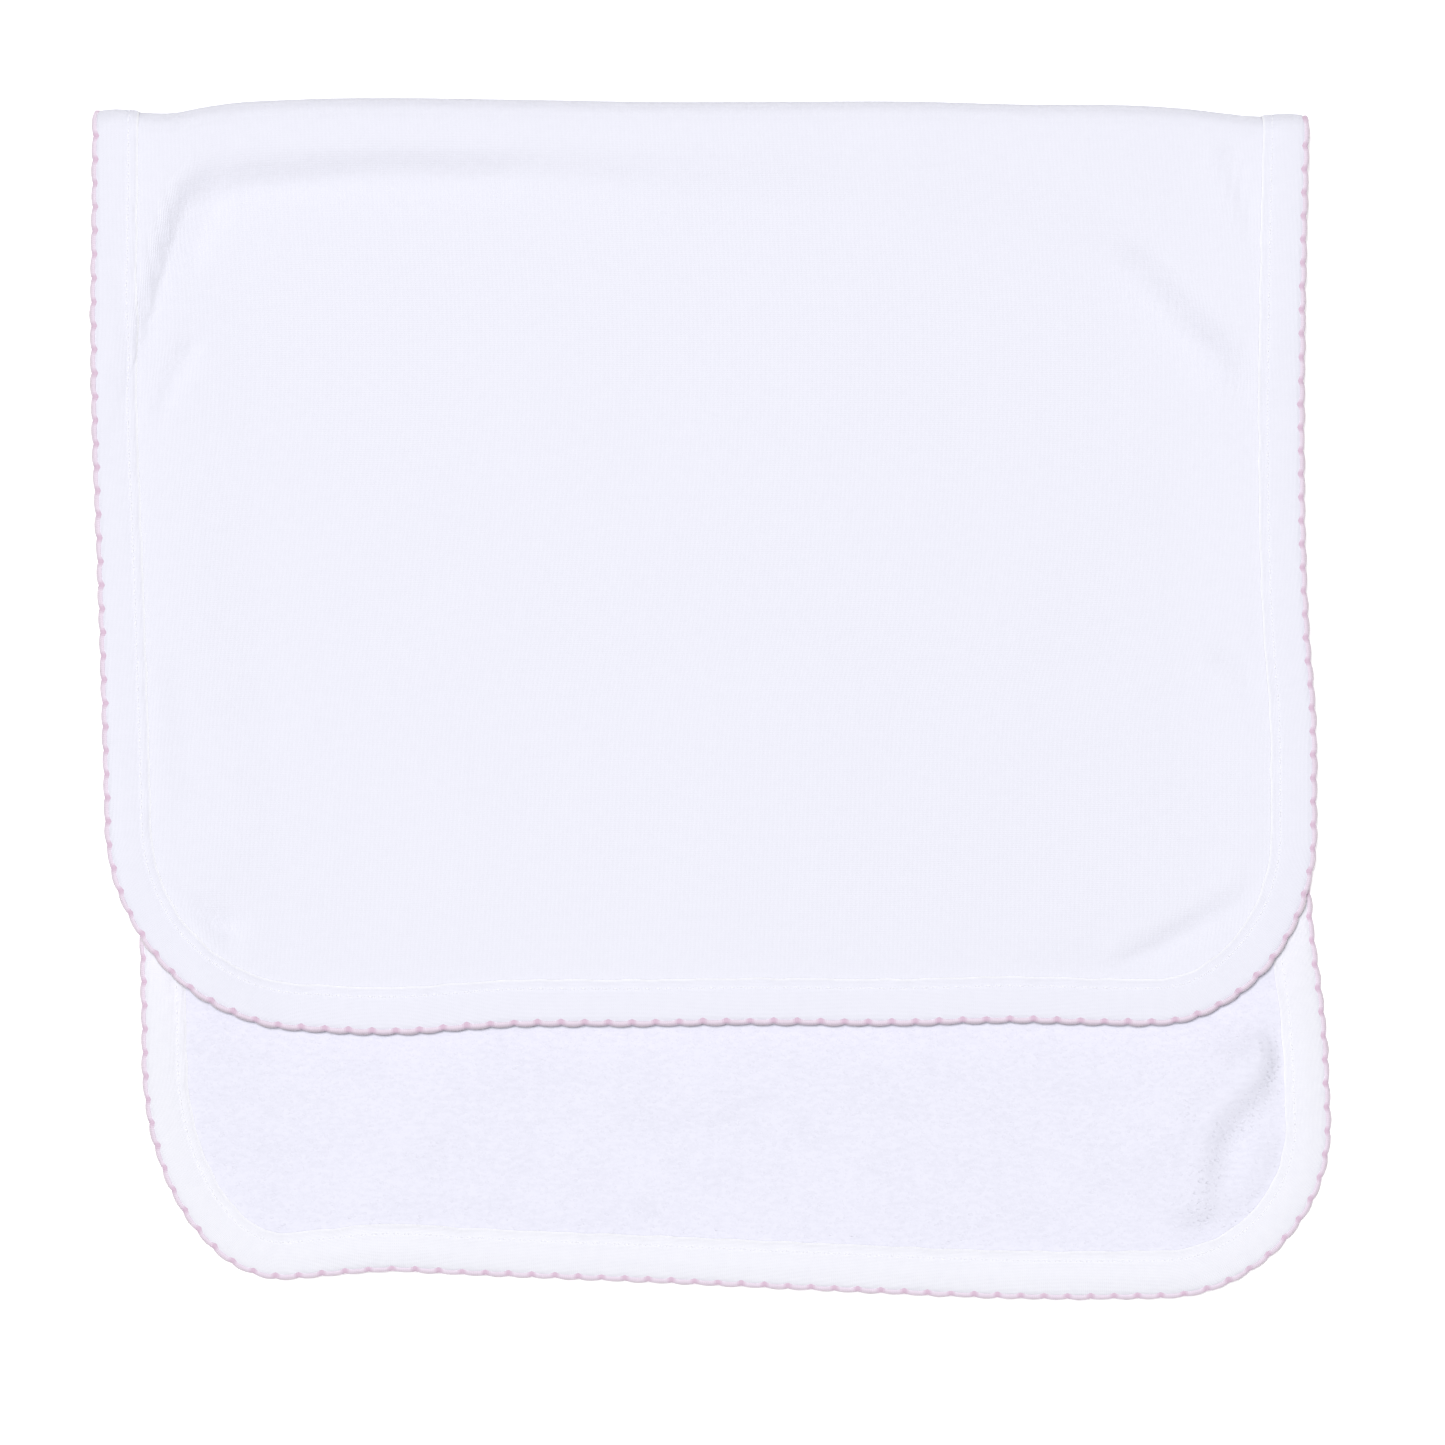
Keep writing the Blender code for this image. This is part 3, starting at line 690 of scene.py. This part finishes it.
def knit_finish(name, colour, groove, wale_pitch=WALE_PITCH, course_pitch=COURSE_PITCH, turned_highlight_colour=None):
    """Fine knit: in each wale two rows of slanting stitches, with a groove between the wales, where painted shade
    darkens the colour.

    A turned colour is a lighter colour painted as a highlight where the pattern's first coordinate is below 0, on the
    strip's lining side."""
    finish = Finish(name, colour, 0.85, {"Sheen Weight": 0.12, "Sheen Roughness": 0.6, "Specular IOR Level": 0.25})
    across, along = finish.cloth_place()
    in_wale = (across / wale_pitch).wrapped()
    lean = abs(in_wale - 0.5) * 2.0
    legs = abs((in_wale * 2.0 * math.pi).sine())
    in_course = (along / course_pitch + lean * 0.5).wrapped()
    stitch = (in_course * math.pi).sine()
    height = legs * (stitch * 0.5 + 0.5)
    uneven = finish.noise(420.0, detail=3.0)
    broad = finish.noise(38.0, detail=2.0)
    # Painted shade: the colour darkens towards the groove colour between the wales and between the stitch rows, mixed
    # with random mottling of the yarn.
    depth = (1.0 - legs) * 0.55 + (1.0 - stitch) * 0.25 + (uneven - 0.5) * 0.9 + (broad - 0.5) * 0.35
    if turned_highlight_colour is not None:
        # Painted highlight: the strip's lining side is lighter, as though more light fell on it.
        colour = finish.mix(across.clamped(0.0008, -0.0008), colour, turned_highlight_colour)
        # Painted highlight: a whiter line along the strip's raw inner edge, laid over the shade of its step.
        colour = finish.mix(abs(across).clamped(0.0118, 0.0124), colour, EDGE_HIGHLIGHT_WHITE)
    finish.feed("Base Color", finish.mix(depth * 0.55, colour, groove))
    broad_bump = finish.bump(broad, 0.0012, 0.35)
    yarn_bump = finish.bump(uneven, 0.00022, 0.5, broad_bump)
    finish.feed("Normal", finish.bump(height, 0.00011, 0.8, yarn_bump))
    return finish.material


def terry_finish(name, colour, depth_shade_colour):
    """The terry's ground and pile: flecks drawn out across the cloth, mixed at random towards a darker colour that is
    painted shade of the depths between them.
    """
    finish = Finish(name, colour, 0.95, {"Sheen Weight": 0.2, "Sheen Roughness": 0.7, "Specular IOR Level": 0.15})
    flecks = finish.noise(900.0, detail=2.0, stretch=(0.45, 1.0, 1.0), roughness=0.6)
    patches = finish.noise(120.0, detail=3.0, stretch=(0.5, 1.0, 1.0))
    # The flecks and patches are random tone; the darker colour they mix towards is painted shade of the depths.
    finish.feed("Base Color", finish.mix((0.62 - flecks) * 1.2 + (0.5 - patches) * 0.45, colour, depth_shade_colour))
    patch_bump = finish.bump(patches, 0.0008, 0.4)
    finish.feed("Normal", finish.bump(flecks, 0.00012, 0.5, patch_bump))
    return finish.material


def loop_finish(name, colour, depth_shade_colour):
    """One terry loop's yarn: a random tone of its own, with painted shade darker at its feet, and a fine fuzz."""
    finish = Finish(name, colour, 0.9, {"Sheen Weight": 0.2, "Sheen Roughness": 0.7, "Specular IOR Level": 0.15})
    shade = finish.node("ShaderNodeAttribute", {"attribute_name": "shade"}, output="Fac")
    fuzz = finish.noise(2600.0, detail=2.0)
    patches = finish.noise(120.0, detail=3.0, stretch=(0.5, 1.0, 1.0))
    # The shade attribute holds a random tone plus painted shade at the loop's feet.
    finish.feed("Base Color", finish.mix(shade + (0.5 - patches) * 0.45, colour, depth_shade_colour))
    finish.feed("Normal", finish.bump(fuzz, 0.00005, 0.3))
    return finish.material


def thread_finish(name, colour, dark, twist_pitch):
    """Twisted thread: slanting plies that run round it, with painted shade darker between the plies."""
    finish = Finish(name, colour, 0.6, {"Sheen Weight": 0.2, "Sheen Roughness": 0.4, "Specular IOR Level": 0.3})
    run, turn = finish.cloth_place()
    ply = abs(((run / twist_pitch + turn) * math.pi).sine())
    # Painted shade: the colour darkens towards the dark colour between the plies.
    finish.feed("Base Color", finish.mix((1.0 - ply) * 0.7, colour, dark))
    finish.feed("Normal", finish.bump(ply, 0.00012, 0.6))
    return finish.material


def overlock_finish(name, inner, core, rim, dark, bitten):
    """Overlocked edge: slanting threads side by side, palest on the strip, with painted shade duller at the rim where
    it turns away and between the threads, deepest in a bite.
    """
    finish = Finish(name, core, 0.75, {"Sheen Weight": 0.2, "Sheen Roughness": 0.5, "Specular IOR Level": 0.2})
    outward, walked = finish.cloth_place()
    thread = abs(((walked / OVERLOCK_PITCH + outward * 260.0) * math.pi).sine())
    patches = finish.noise(260.0, detail=3.0)
    from_bite = abs((walked / SCALLOP + 0.5).wrapped() - 0.5)
    in_bite = from_bite.clamped(0.24, 0.06) * outward.clamped(0.0008, 0.0002)
    colour = finish.mix(outward.clamped(0.0002, -0.0006), core, inner)
    colour = finish.mix(in_bite, colour, bitten)
    # Painted shade: the outer rim, which turns down and away, is duller.
    colour = finish.mix(outward.clamped(0.0004, 0.0012), colour, rim)
    # Painted shade between the slanting threads, mixed with random mottling.
    finish.feed("Base Color", finish.mix((1.0 - thread) * 0.25 + (patches - 0.5) * 0.7, colour, dark))
    patch_bump = finish.bump(patches, 0.0005, 0.4)
    finish.feed("Normal", finish.bump(thread, 0.00012, 0.6, patch_bump))
    return finish.material


def row_ends(along, inset):
    """Where a row across the cut meets the outline drawn in by an inset: straight, or on a smaller ellipse."""
    ends = []
    for side in (-1.0, 1.0):
        half_across, half_along = corner_axes(np.full(np.shape(along), side), along)
        end = np.minimum(along, CUT_LENGTH - along)
        depth = np.clip((half_along - end) / (half_along - inset), 0.0, 1.0)
        drawn_in = (half_across - inset) * (1.0 - np.sqrt(1.0 - depth**2))
        ends.append(side * (CUT_WIDTH / 2 - inset - drawn_in))
    return ends


def pucker(across, along):
    """Faint puckers that the topstitching draws into the panel, fading over 14 mm from the binding."""
    inward = edge_distance(across, along)
    fade = smoothstep(0.024, 0.0105, inward) * smoothstep(0.004, 0.010, inward)
    wave = np.sin(across * 900.0 + 2.2 * np.sin(along * 130.0)) * np.sin(along * 820.0 + 1.9 * np.sin(across * 170.0))
    return 0.00010 * fade * wave


def panel_grid(columns, rows):
    """A panel's grid on the cut: closer rows towards each end's corners, and given numbers of rows between."""
    start = rows[0][0]
    corner = PANEL_INSET + (start - PANEL_INSET) * (1.0 - np.cos(np.linspace(0.0, math.pi / 2, CORNER_ROWS)))
    counts = [row[1] for row in rows]
    between = np.interp(np.arange(1, counts[-1]), counts, [row[0] for row in rows])
    stops = np.concatenate([corner, between, CUT_LENGTH - corner[::-1]])
    left, right = row_ends(stops, PANEL_INSET)
    across = left[:, None] + (right - left)[:, None] * np.linspace(0.0, 1.0, columns)[None, :]
    return across, np.repeat(stops[:, None], columns, axis=1)


def on_grid(points, stops, across, along):
    """Places on a panel's surface as its mesh has it: worked out straight between the grid's nearest points."""
    row = np.clip(np.searchsorted(stops, along) - 1, 0, len(stops) - 2)
    down = ((along - stops[row]) / (stops[row + 1] - stops[row]))[..., None]
    left, right = row_ends(along, PANEL_INSET)
    place = (across - left) / (right - left) * (points.shape[1] - 1)
    column = np.clip(place.astype(int), 0, points.shape[1] - 2)
    beside = (place - column)[..., None]
    upper = points[row, column] * (1.0 - beside) + points[row, column + 1] * beside
    lower = points[row + 1, column] * (1.0 - beside) + points[row + 1, column + 1] * beside
    return upper * (1.0 - down) + lower * down


def panel(name, inner, outer, columns, rows, material):
    """One ply as a closed sheet: two grids over the cut, at its inner and outer distance, joined at the rim."""
    across, along = panel_grid(columns, rows)
    sides = [cloth_point(across, along, reach(across, along)) for reach in (inner, outer)]
    stops = along[:, 0]
    size = len(stops) * columns
    if np.mean(outer(across, along)) > np.mean(inner(across, along)):
        top, bottom = sides[1], sides[0]
    else:
        top, bottom = sides[0], sides[1]
    points = np.concatenate([bottom.reshape(-1, 3), top.reshape(-1, 3)])
    lower, upper = quad_grid(len(stops), columns), quad_grid(len(stops), columns) + size
    rim = rim_quads(len(stops), columns, size)
    flat_uv = grid_uv(across, along)
    rim_uv = np.stack([across.ravel(), along.ravel()], axis=-1)[rim % size].reshape(-1, 2)
    lower_uv = flat_uv.reshape(-1, 4, 2)[:, ::-1].reshape(-1, 2)
    faces = np.concatenate([lower[:, ::-1], upper, rim])
    return cloth_object(name, points, faces, np.concatenate([lower_uv, flat_uv, rim_uv]), material)


def rim_quads(rows, columns, size):
    """The quads that join the two grids of a sheet along their shared outline."""
    first, last = np.arange(columns), (rows - 1) * columns + np.arange(columns)
    left, right = np.arange(rows) * columns, np.arange(rows) * columns + columns - 1
    loop = np.concatenate([first, right[1:], last[-2::-1], left[-2:0:-1]])
    following = np.roll(loop, -1)
    return np.stack([loop, following, following + size, loop + size], axis=-1)


def pressed(across, along):
    """How far the lining's pile is pressed under the binding: 1 there, 0 inside it."""
    return 1.0 - smoothstep(BINDING_WIDTH - 0.001, BINDING_WIDTH + 0.004, edge_distance(across, along))


def face_outer(across, along):
    return FACE_OUTER + pucker(across, along)


def face_inner(across, along):
    return FACE_INNER + 0.0 * across


def lining_inner(across, along):
    return -FACE_INNER + 0.0 * across


def lining_outer(across, along):
    """The lining's ground under its loops, lumpy by a sum of crossed sines, and pressed under the binding."""
    lumps = np.sin(across * 410.0 + 3.0 * np.sin(along * 95.0)) * np.sin(along * 530.0 + 2.5 * np.sin(across * 120.0))
    free = 1.0 - pressed(across, along)
    return -(FACE_INNER + 0.00095 + (0.00022 + 0.00004 * lumps) * free + pucker(across, along))


def needle_dip(walk):
    """1 at each needle hole of the topstitching and 0 midway between: a sharpened cosine."""
    return (0.5 + 0.5 * np.cos(walk / STITCH_PITCH * 2.0 * math.pi)) ** 3


def binding_section():
    """Half of the strip's outer section as inward, out, from its nose to its raw inner edge."""
    return np.array(
        (
            # inward, out
            (0.00000, 0.00000),
            (0.00004, 0.00080),
            (0.00018, 0.00140),
            (0.00044, 0.00184),
            (0.00090, 0.00208),
            (0.00200, 0.00218),
            (0.00380, 0.00224),
            (0.00540, 0.00220),
            (0.00680, 0.00208),
            (0.00770, 0.00196),
            (0.00820, 0.00188),
            (0.00850, 0.00185),
            (0.00880, 0.00187),
            (0.00930, 0.00187),
            (0.00980, 0.00178),
            (0.01020, 0.00164),
            (0.01060, 0.00144),
            (0.01080, 0.00132),
            (0.01085, 0.00128),
            (0.01087, 0.00123),
        )
    )


def edge_binding(material):
    """The strip: a closed channel section carried round the edge, with a stitched groove and a puffed lining side."""
    turns = round(EDGE_LENGTH / STITCH_PITCH)
    stations = turns * 3
    walk = np.arange(stations) * EDGE_LENGTH / stations
    half = binding_section()
    outer = np.concatenate([half[::-1] * (1.0, -1.0), half[1:]])
    inner = np.array(((0.0100, 0.00118), (0.0060, 0.00120), (0.0026, 0.00118), (0.0012, 0.00080)))
    inner = np.concatenate([inner, inner[::-1] * (1.0, -1.0)])
    section = np.concatenate([outer, inner])
    inward = np.repeat(section[:, :1], stations, axis=1)
    out = np.repeat(section[:, 1:], stations, axis=1)
    is_outer = np.arange(len(section))[:, None] < len(outer)
    groove = np.exp(-(((inward - STITCH_INWARD) / 0.00075) ** 2))
    stitch_walk = walk[None, :] * turns * STITCH_PITCH / EDGE_LENGTH
    depth = STITCH_GROOVE * groove * (0.35 + 0.65 * needle_dip(stitch_walk))
    crown = np.exp(-(((inward - 0.0046) / 0.0022) ** 2))
    puff = 0.00012 * crown * ripple(walk[None, :] + 0.6 * inward, 0.0075, 3) + 0.00034 * crown * (out < 0.0)
    out = out + np.where(is_outer, np.sign(out) * (puff - depth), 0.0)
    waver = 0.00018 * ripple(walk, 0.011, 5)[None, :] * smoothstep(0.0085, 0.0106, inward)
    inward = inward + waver
    across, along = edge_place(np.repeat(walk[None, :], len(section), axis=0), inward)
    points = cloth_point(across, along, out)
    lengths = np.linalg.norm(np.diff(np.concatenate([section, section[:1]]), axis=0), axis=1)
    u = np.concatenate([[0.0], np.cumsum(lengths)])[:, None]
    v = (np.arange(stations + 1) * EDGE_LENGTH / stations)[None, :]
    faces = quad_grid(len(section), stations, wrap_rows=True, wrap_columns=True)
    return cloth_object("binding_strip", points.reshape(-1, 3), faces, grid_uv(u - u[len(half) - 1], v), material)


def topstitching(material):
    """Both sides' stitches: short threads along the groove, thickest midway and dipping into the needle holes."""
    turns = round(EDGE_LENGTH / STITCH_PITCH)
    pitch = EDGE_LENGTH / turns
    along_stitch = np.array([-0.42, -0.33, -0.14, 0.14, 0.33, 0.42])
    lift = np.array([-0.00016, 0.00000, 0.00006, 0.00006, 0.00000, -0.00016])
    thickness = np.array([0.35, 0.85, 1.0, 1.0, 0.85, 0.35])
    walk = (np.arange(turns)[:, None] + 0.5 + along_stitch[None, :]) * pitch
    slant = 0.00006 * np.sign(along_stitch)[None, :] * np.ones_like(walk)
    across, along = edge_place(walk, STITCH_INWARD + slant)
    normal = cloth_normal(across, along)
    paths, ups = [], []
    for side in (1.0, -1.0):
        out = side * (0.00185 - 0.35 * STITCH_GROOVE + 0.3 * STITCH_RADIUS + lift)
        paths.append(middle_layer(across, along) + normal * out[None, :, None])
        ups.append(normal)
    path, upward = np.concatenate(paths), np.concatenate(ups)
    radius = STITCH_RADIUS * np.repeat(thickness[None, :], len(path), axis=0)
    return threads("topstitching", path, upward, radius, 6, material)


def edging_lip(material):
    """The edging's threads as one lip over the strip's fold, scalloped outside and biting in between scallops.

    Each ring is a boxy ellipse, |x|^2.6 + |z|^2.6 = 1, with a reach of its own outward, inward and up, and
    sinks towards the surface with the square of its share outward."""
    each, sides = 10, 16
    rings = SCALLOPS * each
    walk = np.arange(rings) * EDGE_LENGTH / rings
    share = (np.arange(rings) % each) / each
    swell = np.sin(share * math.pi) ** 0.7
    bite = np.exp(-((((share + 0.5) % 1.0 - 0.5) / 0.16) ** 2))
    outward = (LIP_OUTWARD + LIP_SWELL * swell) * (1.0 + 0.12 * ripple(walk, 0.013, 11))
    inward = LIP_INWARD + LIP_BITE * bite * (1.0 + 0.35 * ripple(walk, 0.021, 12))
    tall = LIP_HEIGHT * (1.0 + LIP_BITE_LIFT * bite)
    angle = np.arange(sides) * 2.0 * math.pi / sides
    wide = np.sign(np.cos(angle)) * np.abs(np.cos(angle)) ** (2.0 / 2.6)
    high = np.sign(np.sin(angle)) * np.abs(np.sin(angle)) ** (2.0 / 2.6)
    reach = np.where(wide > 0.0, outward[:, None], inward[:, None]) * wide
    across, along = edge_place(np.repeat(walk[:, None], sides, axis=1), -reach)
    points = cloth_point(across, along, tall[:, None] * high)
    points[..., 2] -= LIP_DROOP * (np.maximum(reach, 0.0) / outward[:, None]) ** 2
    faces = quad_grid(rings, sides, wrap_rows=True, wrap_columns=True)
    around = np.concatenate([reach, reach[:, :1]], axis=1)
    u = np.concatenate([around, around[:1]])
    v = (np.arange(rings + 1) * EDGE_LENGTH / rings)[:, None]
    return cloth_object("edging_lip", points.reshape(-1, 3), faces, grid_uv(u, v), material)


def terry_loops(name, first, last, seed, material):
    """Loops of pile on the lining where it shows: low arches that lie mostly across, each with its own random tone and
    painted shade at its feet.
    """
    draw = np.random.default_rng(seed)
    spacing_across, spacing_along = LOOP_SPACING
    columns = np.arange(first, last, spacing_across)
    rows = np.arange(BACK_START + LOOPS_START, CUT_LENGTH - BINDING_WIDTH, spacing_along)
    across, along = (part.ravel() for part in np.meshgrid(columns, rows))
    across = across + draw.uniform(-0.5, 0.5, across.size) * spacing_across
    along = along + draw.uniform(-0.45, 0.45, along.size) * spacing_along
    x, y = back_plan(along - BACK_START, across)
    shows = edge_distance(*front_place(x, y)) < LOOPS_UNDER_FLAP
    kept = shows & (edge_distance(across, along) > BINDING_WIDTH + 0.0003)
    across, along = across[kept], along[kept]
    count = across.size
    half_run = draw.uniform(0.00070, 0.00120, count)
    turned = draw.normal(0.0, 0.25, count)
    share = np.array([-1.0, 0.0, 1.0])
    sunk = LOOP_RADIUS * LOOP_FLATNESS * LOOP_SUNK * draw.uniform(0.85, 1.15, count)
    place_across = across[:, None] + half_run[:, None] * np.cos(turned)[:, None] * share
    place_along = along[:, None] + half_run[:, None] * np.sin(turned)[:, None] * share
    grid_across, grid_along = panel_grid(LINING_COLUMNS, LINING_ROWS)
    ground = cloth_point(grid_across, grid_along, lining_outer(grid_across, grid_along))
    normal = cloth_normal(place_across, place_along)
    path = on_grid(ground, grid_along[:, 0], place_across, place_along)
    path = path + normal * (sunk[:, None] * (1.0 + share**2))[..., None]
    radius = LOOP_RADIUS * draw.uniform(0.85, 1.15, count)[:, None] * np.array([0.7, 1.1, 0.7])
    made = threads(name, path, -normal, radius, 6, material, LOOP_FLATNESS)
    # A random tone for each loop, plus painted shade of 0.15 at both its ends, where it goes into the ground.
    shade = draw.uniform(0.0, 0.25, count)[:, None, None] + np.array([0.15, 0.0, 0.15])[None, :, None]
    shade = np.repeat(shade, 6, axis=2)
    layer = made.data.attributes.new("shade", "FLOAT", "POINT")
    layer.data.foreach_set("value", shade.astype(np.float32).ravel())
    return made


def light(name, kind, place, target, energy, size, colour):
    """An area light at a place, turned towards a target."""
    data = bpy.data.lights.new(name, kind)
    data.energy, data.color = energy, colour
    data.shape, data.size, data.size_y = "RECTANGLE", size[0], size[1]
    made = bpy.data.objects.new(name, data)
    bpy.context.scene.collection.objects.link(made)
    direction = np.array(target) - np.array(place)
    made.location = place
    made.rotation_euler = (
        math.atan2(math.hypot(direction[0], direction[1]), -direction[2]),
        0.0,
        math.atan2(direction[0], -direction[1]) + math.pi,
    )
    return made


# Finishes.
WHITE = (0.80, 0.80, 0.885)
# Painted shade colour for the knit's grooves and stitch rows.
WHITE_GROOVE_SHADE = (0.74, 0.74, 0.83)
# Painted highlight colour for the strip's lining side.
WHITE_TURNED_HIGHLIGHT = (0.835, 0.835, 0.895)
# Painted highlight colour for the strip's inner edge.
EDGE_HIGHLIGHT_WHITE = (0.93, 0.93, 0.96)
TERRY_WHITE = (0.732, 0.729, 0.826)
# Painted shade colour for the depths of the terry.
TERRY_DEPTH_SHADE = (0.62, 0.62, 0.715)
PINK_INNER = (0.77, 0.69, 0.79)
PINK = (0.74, 0.635, 0.74)
# Painted shade colour for the edging's rim.
PINK_RIM_SHADE = (0.68, 0.595, 0.63)
# Painted shade between the edging's threads, also used for its random mottling.
PINK_SHADE_AND_MOTTLE = (0.62, 0.52, 0.60)
PINK_BITE = (0.64, 0.47, 0.60)

knit = knit_finish("white_knit_finish", WHITE, WHITE_GROOVE_SHADE)
strip_knit = knit_finish("binding_finish", WHITE, WHITE_GROOVE_SHADE, turned_highlight_colour=WHITE_TURNED_HIGHLIGHT)
terry = terry_finish("terry_finish", TERRY_WHITE, TERRY_DEPTH_SHADE)
loops = loop_finish("terry_loop_finish", TERRY_WHITE, TERRY_DEPTH_SHADE)
# The thread's second colour is painted shade between its plies.
white_thread = thread_finish("white_thread_finish", (0.90, 0.90, 0.95), (0.82, 0.82, 0.90), 0.0006)
pink_thread = overlock_finish("pink_thread_finish", PINK_INNER, PINK, PINK_RIM_SHADE, PINK_SHADE_AND_MOTTLE, PINK_BITE)

# Pieces.
face = panel("face_sheet", face_inner, face_outer, FACE_COLUMNS, FACE_ROWS, knit)
lining = panel("lining_sheet", lining_inner, lining_outer, LINING_COLUMNS, LINING_ROWS, terry)
binding = edge_binding(strip_knit)
stitches = topstitching(white_thread)
edging = edging_lip(pink_thread)
left_loops = terry_loops("terry_loops_left", -CUT_WIDTH / 2, 0.0, 21, loops)
right_loops = terry_loops("terry_loops_right", 0.0, CUT_WIDTH / 2, 22, loops)

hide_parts("knit_face")
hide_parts("terry_lining")
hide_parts("edge_binding")
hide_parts("scalloped_edging")

# Stage, light and camera.
bpy.ops.mesh.primitive_plane_add(size=6.0)
floor = bpy.context.object
floor.name = "floor"
glow = {"Specular IOR Level": 0.1, "Emission Color": (1.0, 1.0, 1.0, 1.0), "Emission Strength": 0.25}
paper = Finish("floor_finish", (0.97, 0.97, 0.97), 0.9, glow)
floor.data.materials.append(paper.material)

light("key", "AREA", (-0.24, 0.34, 3.2), (0.0, 0.0, 0.0), 84.5, (0.6, 0.5), (1.0, 1.0, 1.0))
light("fill", "AREA", (0.10, -0.60, 3.1), (0.0, 0.0, 0.0), 19.0, (1.2, 0.9), (1.0, 1.0, 1.0))
world = bpy.data.worlds.new("soft_room")
bpy.context.scene.world = world
world.use_nodes = True
world.node_tree.nodes["Background"].inputs["Color"].default_value = (1.0, 1.0, 1.0, 1.0)
world.node_tree.nodes["Background"].inputs["Strength"].default_value = 0.24
bpy.context.scene.view_settings.view_transform = "Standard"

PHOTO_WIDTH = 0.3633
CAMERA_CENTRE = (0.0027, -0.0053)
CAMERA_HEIGHT = 1.9
camera_data = bpy.data.cameras.new("camera")
camera_data.sensor_width = 36.0
camera_data.lens = camera_data.sensor_width * (CAMERA_HEIGHT - 0.004) / PHOTO_WIDTH
camera = bpy.data.objects.new("camera", camera_data)
camera.location = (*CAMERA_CENTRE, CAMERA_HEIGHT)
bpy.context.scene.collection.objects.link(camera)
bpy.context.scene.camera = camera
